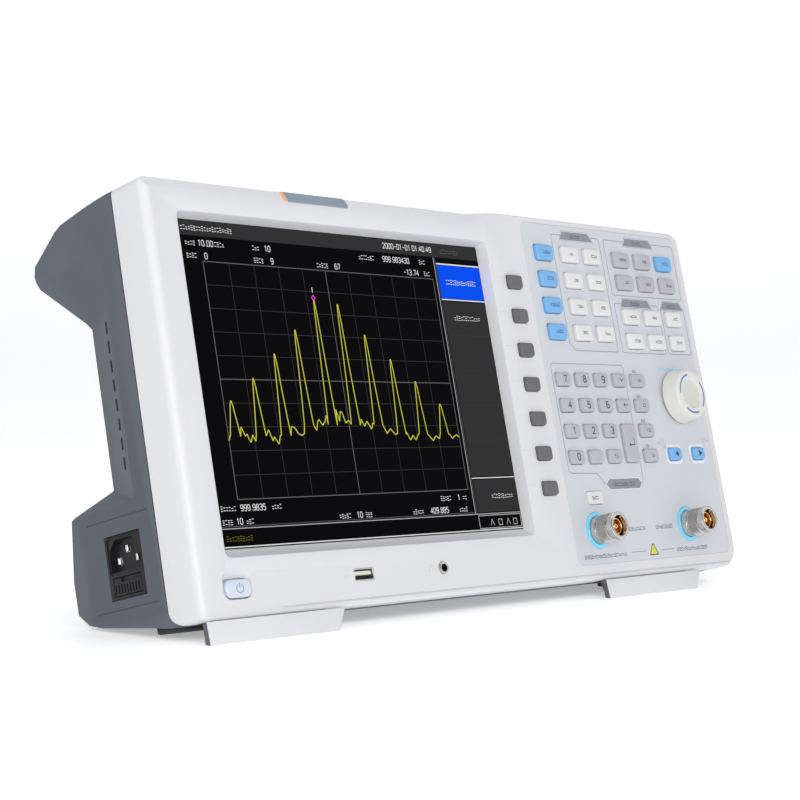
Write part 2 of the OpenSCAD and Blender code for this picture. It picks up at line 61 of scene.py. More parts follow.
def plastic(name, col, rough=0.45, grain=900, bump=0.12, var=0.03, spec=0.5, coat=0.0, big=14, edge=0.0, dist=0.0004, sub=0.0, wear=True):
    """moulded plastic: fine spark-eroded grain, slow tone drift, uneven gloss; edge > 0 lightens convex edges as a
    painted highlight
    """
    m, nt, b = new_mat(name); N = nt.nodes.new; L = nt.links.new
    tc = N("ShaderNodeTexCoord")
    n1 = N("ShaderNodeTexNoise"); n1.inputs["Scale"].default_value = big; n1.inputs["Detail"].default_value = 3
    n2 = N("ShaderNodeTexNoise"); n2.inputs["Scale"].default_value = grain; n2.inputs["Detail"].default_value = 2
    L(tc.outputs["Object"], n1.inputs["Vector"]); L(tc.outputs["Object"], n2.inputs["Vector"])
    ramp = N("ShaderNodeValToRGB")
    c0 = [max(0, c * (1 - var)) for c in col]; c1 = [min(1, c * (1 + var)) for c in col]
    ramp.color_ramp.elements[0].position = 0.35; ramp.color_ramp.elements[1].position = 0.65
    ramp.color_ramp.elements[0].color = (*c0, 1); ramp.color_ramp.elements[1].color = (*c1, 1)
    L(n1.outputs["Fac"], ramp.inputs["Fac"])
    col_out = ramp.outputs["Color"]
    # painted highlight: convex edges (high pointiness) are mixed toward a lighter copy of the colour
    if edge > 0:
        geo = N("ShaderNodeNewGeometry"); edge_highlight_ramp = N("ShaderNodeValToRGB")
        edge_highlight_ramp.color_ramp.elements[0].position = 0.505; edge_highlight_ramp.color_ramp.elements[1].position = 0.56
        L(geo.outputs["Pointiness"], edge_highlight_ramp.inputs["Fac"])
        edge_highlight_mix = N("ShaderNodeMix"); edge_highlight_mix.data_type = 'RGBA'
        mul = N("ShaderNodeMath"); mul.operation = 'MULTIPLY'; mul.inputs[1].default_value = edge
        L(edge_highlight_ramp.outputs["Color"], mul.inputs[0]); L(mul.outputs[0], edge_highlight_mix.inputs["Factor"])
        L(col_out, edge_highlight_mix.inputs[6]); edge_highlight_mix.inputs[7].default_value = (*[min(1, c * 1.35 + 0.04) for c in col], 1)
        col_out = edge_highlight_mix.outputs[2]
    L(col_out, b.inputs["Base Color"])
    mr = N("ShaderNodeMapRange"); mr.inputs["To Min"].default_value = rough - 0.05; mr.inputs["To Max"].default_value = rough + 0.06
    L(n1.outputs["Fac"], mr.inputs["Value"]); L(mr.outputs["Result"], b.inputs["Roughness"])
    bp = N("ShaderNodeBump"); bp.inputs["Strength"].default_value = bump; bp.inputs["Distance"].default_value = dist
    L(n2.outputs["Fac"], bp.inputs["Height"]); L(bp.outputs["Normal"], b.inputs["Normal"])
    b.inputs["Specular IOR Level"].default_value = spec
    if coat: b.inputs["Coat Weight"].default_value = coat; b.inputs["Coat Roughness"].default_value = 0.15
    if sub: b.inputs["Subsurface Weight"].default_value = sub; b.inputs["Subsurface Scale"].default_value = 0.002
    return m

def metal(name, col, rough=0.2, grain=400, aniso=0.0, bump=0.05, var=0.06, stretch=(1, 1, 1)):
    m, nt, b = new_mat(name); N = nt.nodes.new; L = nt.links.new
    tc = N("ShaderNodeTexCoord"); mp = N("ShaderNodeMapping"); mp.inputs["Scale"].default_value = stretch
    n1 = N("ShaderNodeTexNoise"); n1.inputs["Scale"].default_value = grain; n1.inputs["Detail"].default_value = 4
    L(tc.outputs["Object"], mp.inputs["Vector"]); L(mp.outputs["Vector"], n1.inputs["Vector"])
    ramp = N("ShaderNodeValToRGB")
    ramp.color_ramp.elements[0].color = (*[c * (1 - var) for c in col], 1); ramp.color_ramp.elements[1].color = (*[min(1, c * (1 + var)) for c in col], 1)
    L(n1.outputs["Fac"], ramp.inputs["Fac"]); L(ramp.outputs["Color"], b.inputs["Base Color"])
    b.inputs["Metallic"].default_value = 1
    mr = N("ShaderNodeMapRange"); mr.inputs["To Min"].default_value = max(0.02, rough - 0.06); mr.inputs["To Max"].default_value = rough + 0.1
    L(n1.outputs["Fac"], mr.inputs["Value"]); L(mr.outputs["Result"], b.inputs["Roughness"])
    bp = N("ShaderNodeBump"); bp.inputs["Strength"].default_value = bump; bp.inputs["Distance"].default_value = 0.0002
    L(n1.outputs["Fac"], bp.inputs["Height"]); L(bp.outputs["Normal"], b.inputs["Normal"])
    return m

def ink(name, col, rough=0.55):
    return plastic(name, col, rough=rough, grain=2500, bump=0.03, var=0.05, big=200, dist=0.0001)

def glow(name, col, strength=1.0, lines=0.0):
    """lit screen area: an emitting colour with faint noise mottling, satin face"""
    m, nt, b = new_mat(name); N = nt.nodes.new; L = nt.links.new
    tc = N("ShaderNodeTexCoord")
    n = N("ShaderNodeTexNoise"); n.inputs["Scale"].default_value = 60; L(tc.outputs["Object"], n.inputs["Vector"])
    ramp = N("ShaderNodeValToRGB")
    ramp.color_ramp.elements[0].color = (*[c * 0.94 for c in col], 1); ramp.color_ramp.elements[1].color = (*[min(1, c * 1.05) for c in col], 1)
    L(n.outputs["Fac"], ramp.inputs["Fac"])
    L(ramp.outputs["Color"], b.inputs["Emission Color"]); b.inputs["Emission Strength"].default_value = strength
    b.inputs["Base Color"].default_value = (0.0015, 0.0015, 0.002, 1)
    b.inputs["Roughness"].default_value = 0.35; b.inputs["Specular IOR Level"].default_value = 0.01
    return m

M = {}
M["white"] = plastic("bezel_white", (0.69, 0.69, 0.71), rough=0.40, grain=1500, bump=0.05, var=0.012, big=9)
# the grey case carries the painted edge highlight (edge=0.25)
M["grey"] = plastic("case_grey", (0.072, 0.086, 0.106), rough=0.50, grain=1300, bump=0.16, var=0.05, big=16, edge=0.25)
M["overlay"] = plastic("overlay_film", (0.60, 0.62, 0.655), rough=0.36, grain=2600, bump=0.04, var=0.012, big=12)
M["key_white"] = plastic("key_white", (0.73, 0.73, 0.725), rough=0.42, grain=1800, bump=0.06, var=0.015, big=60, sub=0.05)
M["key_grey"] = plastic("key_grey", (0.46, 0.46, 0.49), rough=0.44, grain=1800, bump=0.08, var=0.03, big=60)
M["key_dark"] = plastic("key_dark", (0.125, 0.12, 0.132), rough=0.46, grain=1800, bump=0.10, var=0.05, big=70)
M["key_blue"] = plastic("key_blue", (0.17, 0.43, 0.76), rough=0.38, grain=1800, bump=0.06, var=0.03, big=60)
M["btn"] = plastic("power_button_pale", (0.60, 0.66, 0.75), rough=0.28, grain=1500, bump=0.04, var=0.02, big=60, coat=0.4)
M["ivory"] = plastic("knob_ivory", (0.72, 0.715, 0.66), rough=0.34, grain=1700, bump=0.05, var=0.015, big=30)
M["knob_face"] = plastic("knob_face", (0.66, 0.65, 0.60), rough=0.42, grain=1700, bump=0.10, var=0.02, big=50)
M["knob_blue"] = ink("knob_blue_inlay", (0.09, 0.22, 0.50), rough=0.35)
M["ring"] = plastic("ring_cyan", (0.20, 0.68, 0.95), rough=0.22, grain=1200, bump=0.03, var=0.03, big=70, coat=0.5)
M["rubber"] = plastic("rubber_black", (0.022, 0.022, 0.024), rough=0.75, grain=700, bump=0.3, var=0.15, big=40)
M["black"] = plastic("black_moulding", (0.010, 0.010, 0.012), rough=0.42, grain=900, bump=0.12, var=0.12, big=40, spec=0.3)
# dark slate colour painted on the feet's -x faces as the shade on that side
M["foot_dark"] = plastic("foot_painted_side_shade", (0.085, 0.098, 0.12), rough=0.5, grain=1200, bump=0.15, var=0.06, big=40)
M["trim"] = plastic("trim_slate", (0.24, 0.30, 0.37), rough=0.30, grain=1800, bump=0.04, var=0.03, big=40)
M["orange"] = plastic("trim_orange", (0.86, 0.40, 0.17), rough=0.35, grain=1800, bump=0.04, var=0.04, big=60)
M["pcb"] = plastic("circuit_board", (0.018, 0.14, 0.055), rough=0.35, grain=300, bump=0.2, var=0.35, big=220)
M["silicone"] = plastic("silicone_mat", (0.30, 0.31, 0.33), rough=0.7, grain=900, bump=0.15, var=0.05, big=50)
M["nickel"] = metal("nickel", (0.60, 0.58, 0.565), rough=0.13, grain=260, bump=0.04)
M["nickel_dark"] = metal("nickel_shadow", (0.09, 0.075, 0.065), rough=0.3, grain=260)
M["gold"] = metal("gold_contact", (0.88, 0.55, 0.20), rough=0.18, grain=300)
M["steel"] = metal("steel_sheet", (0.60, 0.61, 0.62), rough=0.32, grain=120, stretch=(1, 12, 1))
M["alu"] = metal("milled_aluminium", (0.72, 0.73, 0.74), rough=0.28, grain=150, stretch=(12, 1, 1))
M["copper"] = metal("copper_coax", (0.78, 0.44, 0.24), rough=0.25)
M["ptfe"] = plastic("ptfe", (0.75, 0.72, 0.66), rough=0.5, grain=700, bump=0.05, var=0.03)
M["ink_dark"] = ink("ink_dark", (0.045, 0.05, 0.075))
M["ink_navy"] = ink("ink_navy", (0.02, 0.035, 0.12))
M["ink_line"] = ink("ink_line", (0.26, 0.28, 0.32))
M["ink_head"] = ink("ink_header", (0.25, 0.27, 0.295))
M["ink_white"] = ink("ink_white", (0.80, 0.82, 0.86))
M["ink_soft"] = ink("ink_soft", (0.55, 0.57, 0.60))
M["ink_yellow"] = ink("ink_yellow", (0.72, 0.66, 0.06))
M["ink_cyan"] = ink("ink_cyan", (0.25, 0.68, 0.88))
M["ink_mark"] = ink("ink_mark", (0.20, 0.21, 0.23))
M["scr_black"] = glow("screen_black", (0.0010, 0.0010, 0.0012), 1.0)
M["scr_bar"] = glow("screen_bar", (0.030, 0.030, 0.031), 1.0)
M["scr_blue"] = glow("screen_blue", (0.0, 0.072, 0.83), 1.05)
M["scr_white"] = glow("screen_white", (0.80, 0.80, 0.80), 1.0)
M["scr_lite"] = glow("screen_light", (0.42, 0.42, 0.42), 1.0)
M["scr_grid"] = glow("screen_grid", (0.036, 0.036, 0.036), 1.0)
M["scr_frame"] = glow("screen_frame", (0.13, 0.13, 0.13), 1.0)
M["scr_yellow"] = glow("screen_yellow", (0.62, 0.60, 0.045), 1.0)
M["scr_olive"] = glow("screen_olive", (0.16, 0.16, 0.01), 1.0)
M["scr_magenta"] = glow("screen_magenta", (0.9, 0.06, 0.75), 1.0)
def glass_mat():
    m, nt, b = new_mat("fuse_glass"); N = nt.nodes.new; L = nt.links.new
    tc = N("ShaderNodeTexCoord"); n = N("ShaderNodeTexNoise"); n.inputs["Scale"].default_value = 300
    L(tc.outputs["Object"], n.inputs["Vector"]); bp = N("ShaderNodeBump"); bp.inputs["Strength"].default_value = 0.05
    L(n.outputs["Fac"], bp.inputs["Height"]); L(bp.outputs["Normal"], b.inputs["Normal"])
    b.inputs["Base Color"].default_value = (0.85, 0.92, 0.9, 1); b.inputs["Roughness"].default_value = 0.08; b.inputs["Transmission Weight"].default_value = 0.6
    return m
M["glass"] = glass_mat()

# ---------------------------------------------------------------- mesh helpers (body axes, millimetres)
class Acc:
    def __init__(s): s.v = []; s.f = []; s.m = []
    def add(s, verts, faces, mat=0):
        b = len(s.v); s.v += [tuple(p) for p in verts]
        s.f += [tuple(i + b for i in f) for f in faces]; s.m += [mat] * len(faces)
        return s
    def raw(s, name):
        me = bpy.data.meshes.new(name); me.from_pydata(s.v, [], s.f); me.update()
        for p, k in zip(me.polygons, s.m): p.material_index = k
        ob = bpy.data.objects.new(name, me); bpy.context.scene.collection.objects.link(ob)
        return ob
    def piece(s, name, mats, angle=32, weld=True, fix=True):
        ob = s.raw(name); return finish_piece(ob, mats, angle, weld, fix)

def finish_piece(ob, mats, angle=32, weld=True, fix=True):
    me = ob.data
    bm = bmesh.new(); bm.from_mesh(me)
    if weld: bmesh.ops.remove_doubles(bm, verts=bm.verts, dist=0.0005)
    if fix: bmesh.ops.recalc_face_normals(bm, faces=bm.faces)
    for f in bm.faces: f.smooth = True
    for e in bm.edges:
        if len(e.link_faces) == 2: e.smooth = e.calc_face_angle(0) < math.radians(angle)
        else: e.smooth = False
    bm.to_mesh(me); bm.free()
    me.transform(M_ROW)
    keep = [q.material_index for q in me.polygons]
    me.materials.clear()
    for k in mats: me.materials.append(M[k])
    for q, k in zip(me.polygons, keep): q.material_index = min(k, len(mats) - 1)
    return ob

def loft(loops, cap0=True, cap1=True, closed=True):
    n = len(loops[0]); v = [p for l in loops for p in l]; f = []
    for k in range(len(loops) - 1):
        for i in range(n if closed else n - 1):
            j = (i + 1) % n; f.append((k * n + i, k * n + j, (k + 1) * n + j, (k + 1) * n + i))
    if cap0: f.append(tuple(range(n))[::-1])
    if cap1: f.append(tuple(range((len(loops) - 1) * n, len(loops) * n)))
    return v, f

def arc(cx, cz, r, a0, a1, n):
    return [(cx + r * math.cos(math.radians(a0 + (a1 - a0) * i / n)), cz + r * math.sin(math.radians(a0 + (a1 - a0) * i / n))) for i in range(n + 1)]

def rrect(cx, cz, w, h, r, n=5):
    r = max(0.01, min(r, w / 2 - 0.005, h / 2 - 0.005))
    return (arc(cx + w / 2 - r, cz + h / 2 - r, r, 0, 90, n) + arc(cx - w / 2 + r, cz + h / 2 - r, r, 90, 180, n)
            + arc(cx - w / 2 + r, cz - h / 2 + r, r, 180, 270, n) + arc(cx + w / 2 - r, cz - h / 2 + r, r, 270, 360, n))

def at_y(o, y): return [(p[0], y, p[1]) for p in o]
def at_x(o, x): return [(x, p[0], p[1]) for p in o]
def prism(o, y0, y1): return loft([at_y(o, y0), at_y(o, y1)])
def prism_x(o, x0, x1): return loft([at_x(o, x0), at_x(o, x1)])
def box(a, b):
    o = [(a[0], a[2]), (b[0], a[2]), (b[0], b[2]), (a[0], b[2])]
    return prism(o, a[1], b[1])

def revolve(prof, cx, cz, n=64, cap0=True, cap1=True, a0=0.0):
    """prof: (radius, y); axis along y"""
    loops = [[(cx + r * math.cos(a0 + 2 * math.pi * i / n), y, cz + r * math.sin(a0 + 2 * math.pi * i / n)) for i in range(n)] for r, y in prof]
    return loft(loops, cap0, cap1)

def stroke(pts, w, y0, y1, closed=False):
    """mitred ribbon of width w along x,z points"""
    n = len(pts); L, R = [], []
    for i in range(n):
        p = Vector(pts[i])
        a = Vector(pts[i - 1]) if (i > 0 or closed) else None
        b = Vector(pts[(i + 1) % n]) if (i < n - 1 or closed) else None
        d1 = (p - a).normalized() if a is not None and (p - a).length > 1e-9 else None
        d2 = (b - p).normalized() if b is not None and (b - p).length > 1e-9 else None
        if d1 is None: d1 = d2
        if d2 is None: d2 = d1
        t = (d1 + d2)
        t = t.normalized() if t.length > 1e-6 else d1
        nrm = Vector((-t.y, t.x)); k = nrm.dot(Vector((-d1.y, d1.x)))
        q = w / 2 / max(0.45, k)
        L.append(tuple(p + nrm * q)); R.append(tuple(p - nrm * q))
    v, f = [], []
    for a, b in zip(L, R): v += [(a[0], y0, a[1]), (b[0], y0, b[1]), (b[0], y1, b[1]), (a[0], y1, a[1])]
    m = n if closed else n - 1
    for i in range(m):
        j = (i + 1) % n; A, B = 4 * i, 4 * j
        for k in range(4): f.append((A + k, A + (k + 1) % 4, B + (k + 1) % 4, B + k))
    if not closed: f += [(3, 2, 1, 0), (4 * n - 4, 4 * n - 3, 4 * n - 2, 4 * n - 1)]
    return v, f

DEPS = lambda: bpy.context.evaluated_depsgraph_get()
def apply_mods(ob):
    me = bpy.data.meshes.new_from_object(ob.evaluated_get(DEPS())); old = ob.data
    ob.modifiers.clear(); ob.data = me; bpy.data.meshes.remove(old); return ob
def kill(ob): me = ob.data; bpy.data.objects.remove(ob); bpy.data.meshes.remove(me)
def boolean(ob, cutter, op='DIFFERENCE', solver='EXACT'):
    for o in (ob, cutter):
        bm = bmesh.new(); bm.from_mesh(o.data); bmesh.ops.recalc_face_normals(bm, faces=bm.faces); bm.to_mesh(o.data); bm.free()
    m = ob.modifiers.new("b", 'BOOLEAN'); m.operation = op; m.object = cutter; m.solver = solver
    bpy.context.view_layer.update(); apply_mods(ob); kill(cutter); return ob
def bevel(ob, w, seg=2, angle=30, clean=True):
    if clean:
        bm = bmesh.new(); bm.from_mesh(ob.data)
        bmesh.ops.remove_doubles(bm, verts=bm.verts, dist=0.002)
        bmesh.ops.dissolve_limit(bm, angle_limit=math.radians(1.0), verts=bm.verts, edges=bm.edges)
        bm.to_mesh(ob.data); bm.free()
    m = ob.modifiers.new("bv", 'BEVEL'); m.width = w; m.segments = seg; m.limit_method = 'ANGLE'; m.angle_limit = math.radians(angle)
    m.harden_normals = False; m.use_clamp_overlap = True; m.miter_outer = 'MITER_SHARP'
    bpy.context.view_layer.update(); return apply_mods(ob)

# stroke digits on a 0.6 x 1 cell, and plain marks for words
DIG = {
 '0': [[(.12, 0), (.48, 0), (.6, .16), (.6, .84), (.48, 1), (.12, 1), (0, .84), (0, .16), (.12, 0)]],
 '1': [[(.1, .78), (.34, 1), (.34, 0)]],
 '2': [[(0, .8), (.12, 1), (.48, 1), (.6, .84), (.6, .62), (0, 0), (.62, 0)]],
 '3': [[(0, .88), (.12, 1), (.48, 1), (.6, .86), (.6, .66), (.46, .53), (.2, .53)], [(.46, .53), (.6, .4), (.6, .15), (.48, 0), (.12, 0), (0, .12)]],
 '4': [[(.46, 0), (.46, 1), (0, .3), (.62, .3)]],
 '5': [[(.58, 1), (.06, 1), (.03, .56), (.44, .62), (.6, .46), (.6, .16), (.46, 0), (.12, 0), (0, .12)]],
 '6': [[(.54, .95), (.4, 1), (.15, 1), (0, .82), (0, .16), (.12, 0), (.48, 0), (.6, .16), (.6, .42), (.48, .56), (.12, .56), (0, .44)]],
 '7': [[(0, 1), (.6, 1), (.24, 0)]],
 '8': [[(.14, .53), (.02, .68), (.02, .86), (.14, 1), (.46, 1), (.58, .86), (.58, .68), (.46, .53), (.14, .53), (0, .38), (0, .14), (.14, 0), (.46, 0), (.6, .14), (.6, .38), (.46, .53)]],
 '9': [[(.06, .05), (.2, 0), (.45, 0), (.6, .18), (.6, .84), (.48, 1), (.12, 1), (0, .84), (0, .58), (.12, .44), (.48, .44), (.6, .56)]],
 '.': [[(.24, 0), (.24, .12)]], '-': [[(.06, .48), (.5, .48)]], '+': [[(.02, .5), (.58, .5)], [(.3, .22), (.3, .78)]], '/': [[(0, -.05), (.6, 1.05)]],
 ':': [[(.28, .1), (.28, .22)], [(.28, .62), (.28, .74)]],
}
def digits(acc, text, x, z, h, y, w, mat, sx=1.0, depth=0.03, gap=0.82, slant=0.0):
    for ch in text:
        if ch == ' ': x += h * 0.5 * sx; continue
        if ch == '~': x = greek(acc, x, z, h, 1, y, w, mat, sx, depth) ; continue
        for pl in DIG[ch]:
            acc.add(*stroke([(x + (p[0] + slant * p[1]) * h * sx, z + p[1] * h) for p in pl], w, y - depth, y), mat)
        x += h * (gap if ch not in '.:' else 0.5) * sx
    return x
def greek(acc, x, z, h, n, y, w, mat, sx=1.0, depth=0.03, r=None):
    """stand-in for a printed word: stacked dashes, no letters"""
    r = r or rnd
    for k in range(n):
        for q in r.choice([(0.12, 0.66), (0.05, 0.45, 0.86), (0.1, 0.8), (0.2, 0.6), (0.08, 0.5), (0.0, 0.4, 0.75)]):
            L = 0.40 * h * sx * r.choice([1, 1, 0.7])
            acc.add(*stroke([(x, z + q * h), (x + L, z + q * h)], w, y - depth, y), mat)
        x += 0.56 * h * sx
    return x

# ---------------------------------------------------------------- key tables, as the CAD has them
ROWZ = [188.9, 173.3, 157.7, 142.1]
SOFT = [(43.7, 169.7 - 19.52 * i, 11.4, 7.8) for i in range(7)]
FUNC = [(74.1, z, 14.8, 9.4) for z in ROWZ]
CTRL = [(c, z, 15, 9.4) for c in (97.2, 118.2) for z in ROWZ]
UTIL = [(146.1, 188.7, 15.2, 9.2), (167.3, 188.7, 15.2, 9.2), (146.1, 174.7, 15.2, 9.2), (167.3, 174.7, 15.2, 9.2), (188.6, 174.7, 15.2, 9.2)]
PRE = [(188.6, 188.7, 15.2, 9.2)]
MARK = [(c, z, 15.2, 9.4) for c in (146.1, 167.3) for z in (153.5, 138.5)]
MEAS = [(188.6, z, 14.2, 9.4) for z in (153.5, 138.5)]
NZ = [114.3, 99.3, 84.3, 69.3]
NUM = [[(71.5 + 17.3 * i, NZ[r], 11.8, 7.8) for i in range(4 if r < 2 else 3)] for r in range(4)]
ENT = [(123, 76.8, 12, 22.8)]
UNIT = [(140.9, z, 12.6, 7.8) for z in NZ]
ARL = [(165.2, 69.7, 10.8, 7.4)]; ARR = [(189.1, 69.7, 10.8, 7.4)]
TG = [(82.2, 46, 13.6, 7.4)]
PANEL = FUNC + CTRL + UTIL + PRE + MARK + MEAS + sum(NUM, []) + ENT + UNIT + ARL + ARR + TG
PWR = (-187.8, 13.3, 15.2, 8.4)
KX, KZ = 179.7, 104.6
NRF = (166.6, 27.6); NTG = (80, 27.6)
USB = (-107, 14.7); JACK = (-50.6, 14.4)
FEET = [(-210.3, -125, -203.5, -134), (77, 167, 84, 158)]
SCREWS = [(-190, 141), (190, 141), (-190, 81), (190, 81)]
BNC = [(-150, 125), (-120, 125), (-90, 125)]
FAN = (130, 112)
def fl(y): return (-ZS + y * S_) / C_

# ================================================================ white bezel
def outline(dl, d, rs, nc=8):
    """bezel outline, inset dl on the left and d elsewhere; rs = corner radii BL BR TR TL"""
    x0, x1, z0 = -HW + dl, HW - d, d
    bl, br, tr, tl = rs
    return (arc(x0 + bl, z0 + bl, bl, 180, 270, nc) + arc(x1 - br, z0 + br, br, 270, 360, nc) + arc(x1 - tr, BH - d - tr, tr, 0, 90, nc)
            + [(40, BH - d), (17, TOPL - d)] + arc(x0 + tl, TOPL - d - tl, tl, 90, 180, nc))
NC = 8
def left_weight():
    w = []
    for a0, a1 in ((180, 270), (270, 360), (0, 90)):
        for i in range(NC + 1): w.append(max(0.0, -math.cos(math.radians(a0 + (a1 - a0) * i / NC))) ** 2)
    w += [0, 0]
    for i in range(NC + 1): w.append(max(0.0, -math.cos(math.radians(90 + 90 * i / NC))) ** 2)
    return w
LW = left_weight()
side = outline(0, 0, (4, 14, 7, 4)); front = outline(5.6, 1.5, (3.2, 12.6, 5.6, 3.2)); backl = outline(0.45, 0.45, (3.6, 13.6, 6.6, 3.6))
loops = [at_y(backl, 23.9), at_y(side, 23.4)]
NS = 9
for k in range(NS + 1):
    t = math.pi / 2 * k / NS
    loops.append([(p[0] + (q[0] - p[0]) * (1 - math.cos(t)), (1.5 + 2.6 * w) * (1 - math.sin(t)), p[1] + (q[1] - p[1]) * (1 - math.cos(t))) for p, q, w in zip(side, front, LW)])
bez = Acc().add(*loft(loops)).raw("bezel")
def cut(ob, parts):
    a = Acc()
    for v, f in parts: a.add(v, f)
    return boolean(ob, a.raw("cut"))
cut(bez, [box((28, 3, 8.2), (HW - WALL, 25, 204.9))])
cut(bez, [box((-HW + WALL, 6.3, 24), (28.01, 25, 205.3))])
cut(bez, [box((-HW + WALL, 3, 8.2), (28.01, 25, 24.01))])
# sloping strip along the top of the screen side, running out in a diagonal facet
P0 = [(-0.5, 201.4), (5.2, 212), (-3, 212), (-3, 201.4)]
def lerp2(a, b, t): return [(p[0] + (q[0] - p[0]) * t, p[1] + (q[1] - p[1]) * t) for p, q in zip(a, b)]
P1 = [(-0.5, 209.3), (1.2, 212.46), (-3, 212.4), (-3, 209.3)]
cut(bez, [loft([at_x(P0, -215), at_x(P0, 17), at_x(lerp2(P0, P1, 0.5), 28), at_x(P1, 39.5)])])
# screen recess with a soft lip
def rec(d, y, r): return at_y(rrect((-191.8 + 26.25) / 2, (27.8 + 192.4) / 2, 218.05 + 2 * d, 164.6 + 2 * d, r), y)
win = at_y(rrect((SX0 + SX1) / 2, (SZ0 + SZ1) / 2, SW, SH, 0.8), 6.0)
cut(bez, [loft([rec(1.0, -1, 4.2), rec(0.75, -0.02, 4.0), rec(0.4, 0.12, 3.6), rec(0.1, 0.42, 3.3), rec(-0.1, 0.9, 3.0), win, [(p[0], 7.5, p[2]) for p in win]])])
# hinge pockets, heel
cut(bez, [box((f[2] - 0.4, 1.8, -1), (f[3] + 0.4, 20.4, 6.9)) for f in FEET])
heel = [(14 + 10 * math.cos(math.radians(-a)), 10 + 10 * math.sin(math.radians(-a))) for a in [i * 7.5 for i in range(13)]]
cut(bez, [prism_x(heel + [(14, -2), (26, -2), (26, 10)], -HW - 2, HW + 2)])
# seat of the overlay, key holes, connector holes, power recess, fine groove
OV = lambda d: rrect(131.3, 107.55, 146.8 + 2 * d, 197.9 + 2 * d, 5 + d, 8)
cut(bez, [prism(OV(0.12), -1, 0.42)])
holes = [prism(rrect(k[0], k[1], k[2] + 0.6, k[3] + 0.6, 1.5, 4), -1, 4) for k in SOFT]
holes += [prism(rrect(k[0], k[1], k[2] + 0.6, k[3] + 0.6, 1.7, 4), 0.2, 4) for k in PANEL]
holes += [revolve([(3.7, 0.2), (3.7, 4)], KX, KZ, 32)]
holes += [revolve([(10.45, 0.2), (10.45, 1.3), (8.05, 1.3), (8.05, 4)], n[0], n[1], 64) for n in (NRF, NTG)]
holes += [prism(rrect(USB[0], USB[1], 13.6, 6.2, 0.5, 3), -1, 4), revolve([(3.35, -1), (3.35, 4)], JACK[0], JACK[1], 40)]
holes += [box((-162, -1, 2.5), (207, 0.8, 3.35))]
cut(bez, holes)
# scooped seat of the power button: open above it
def pw(dx, dz, r, y, up=0.0): return at_y(rrect(PWR[0], PWR[1] + up / 2, PWR[2] + dx, PWR[3] + dz + up, r, 6), y)
cut(bez, [loft([pw(2.6, 2.2, 4.6, -0.6, 3.4), pw(2.0, 1.6, 4.2, 0, 3.2), pw(1.0, 1.0, 3.6, 0.6, 2.4), pw(0.8, 0.8, 3.3, 1.7, 0.3), pw(0.8, 0.8, 3.2, 4.0, 0)])])
finish_piece(bez, ["white"], 30)
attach(bez, "chassis"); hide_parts("front_bezel")

# ================================================================ overlay film with its printing
ovl = Acc().add(*loft([at_y(OV(-0.15), 0.0), at_y(OV(0), 0.1), at_y(OV(0), 0.4)])).raw("overlay_film")
cut(ovl, [prism(rrect(k[0], k[1], k[2] + 0.6, k[3] + 0.6, 1.7, 4), -1, 1) for k in PANEL]
    + [revolve([(4.2, -1), (4.2, 1)], KX, KZ, 32)] + [revolve([(10.5, -1), (10.5, 1)], n[0], n[1], 64) for n in (NRF, NTG)])
finish_piece(ovl, ["overlay"], 30)
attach(ovl, "chassis"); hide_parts("panel_overlay")
PR = Acc(); PY = 0.0      # print: 0 line, 1 header, 2 white, 3 dark, 4 soft, 5 yellow, 6 cyan
LWD = 0.45
def rframe(x0, x1, z0, z1, r=1.6, w=LWD, mat=0, cut_bl=False):
    o = rrect((x0 + x1) / 2, (z0 + z1) / 2, x1 - x0, z1 - z0, r, 4)
    if cut_bl:
        o = arc(x1 - r, z1 - r, r, 0, 90, 4) + arc(x0 + r, z1 - r, r, 90, 180, 4) + [(x0, z0 + 4.5), (x0 + 4.5, z0)] + arc(x1 - r, z0 + r, r, 270, 360, 4)
    PR.add(*stroke(o, w, PY - 0.02, PY, closed=True), mat)
def header(x0, x1, z0, z1, t0, t1, n):
    PR.add(*prism([(x0 - .35, z0 - .3), (x1 + .35, z0 - .3), (t1 + .25, z1 + .3), (t0 - .25, z1 + .3)], PY - 0.035, PY - 0.004), 2)
    PR.add(*prism([(x0, z0), (x1, z0), (t1, z1), (t0, z1)], PY - 0.05, PY - 0.01), 1)
    PR.add(*stroke([(x0 - .5, z0 - .4), (x1 + .5, z0 - .4), (t1 + .35, z1 + .4), (t0 - .35, z1 + .4)], 0.28, PY - 0.04, PY, closed=True), 0)
    wd = n * 0.56 * 3.1
    greek(PR, (t0 + t1) / 2 - wd / 2, (z0 + z1) / 2 - 1.2, 2.4, int(n * 1.3), PY - 0.05, 0.5, 7, sx=1.0, depth=0.015)
rframe(84.5, 129, 131.7, 201, cut_bl=True); rframe(133.3, 202.7, 166.8, 201); rframe(133.3, 176.5, 131.5, 161.8); rframe(179, 202.6, 131.7, 161.8)
header(92.3, 122.4, 198.3, 203.3, 95, 119, 6); header(152.4, 181.6, 198.3, 203.3, 155, 179, 6)
header(139.3, 169, 159.8, 164.8, 142, 166.5, 6); header(179.6, 201.7, 159.8, 164.8, 182, 199, 5)
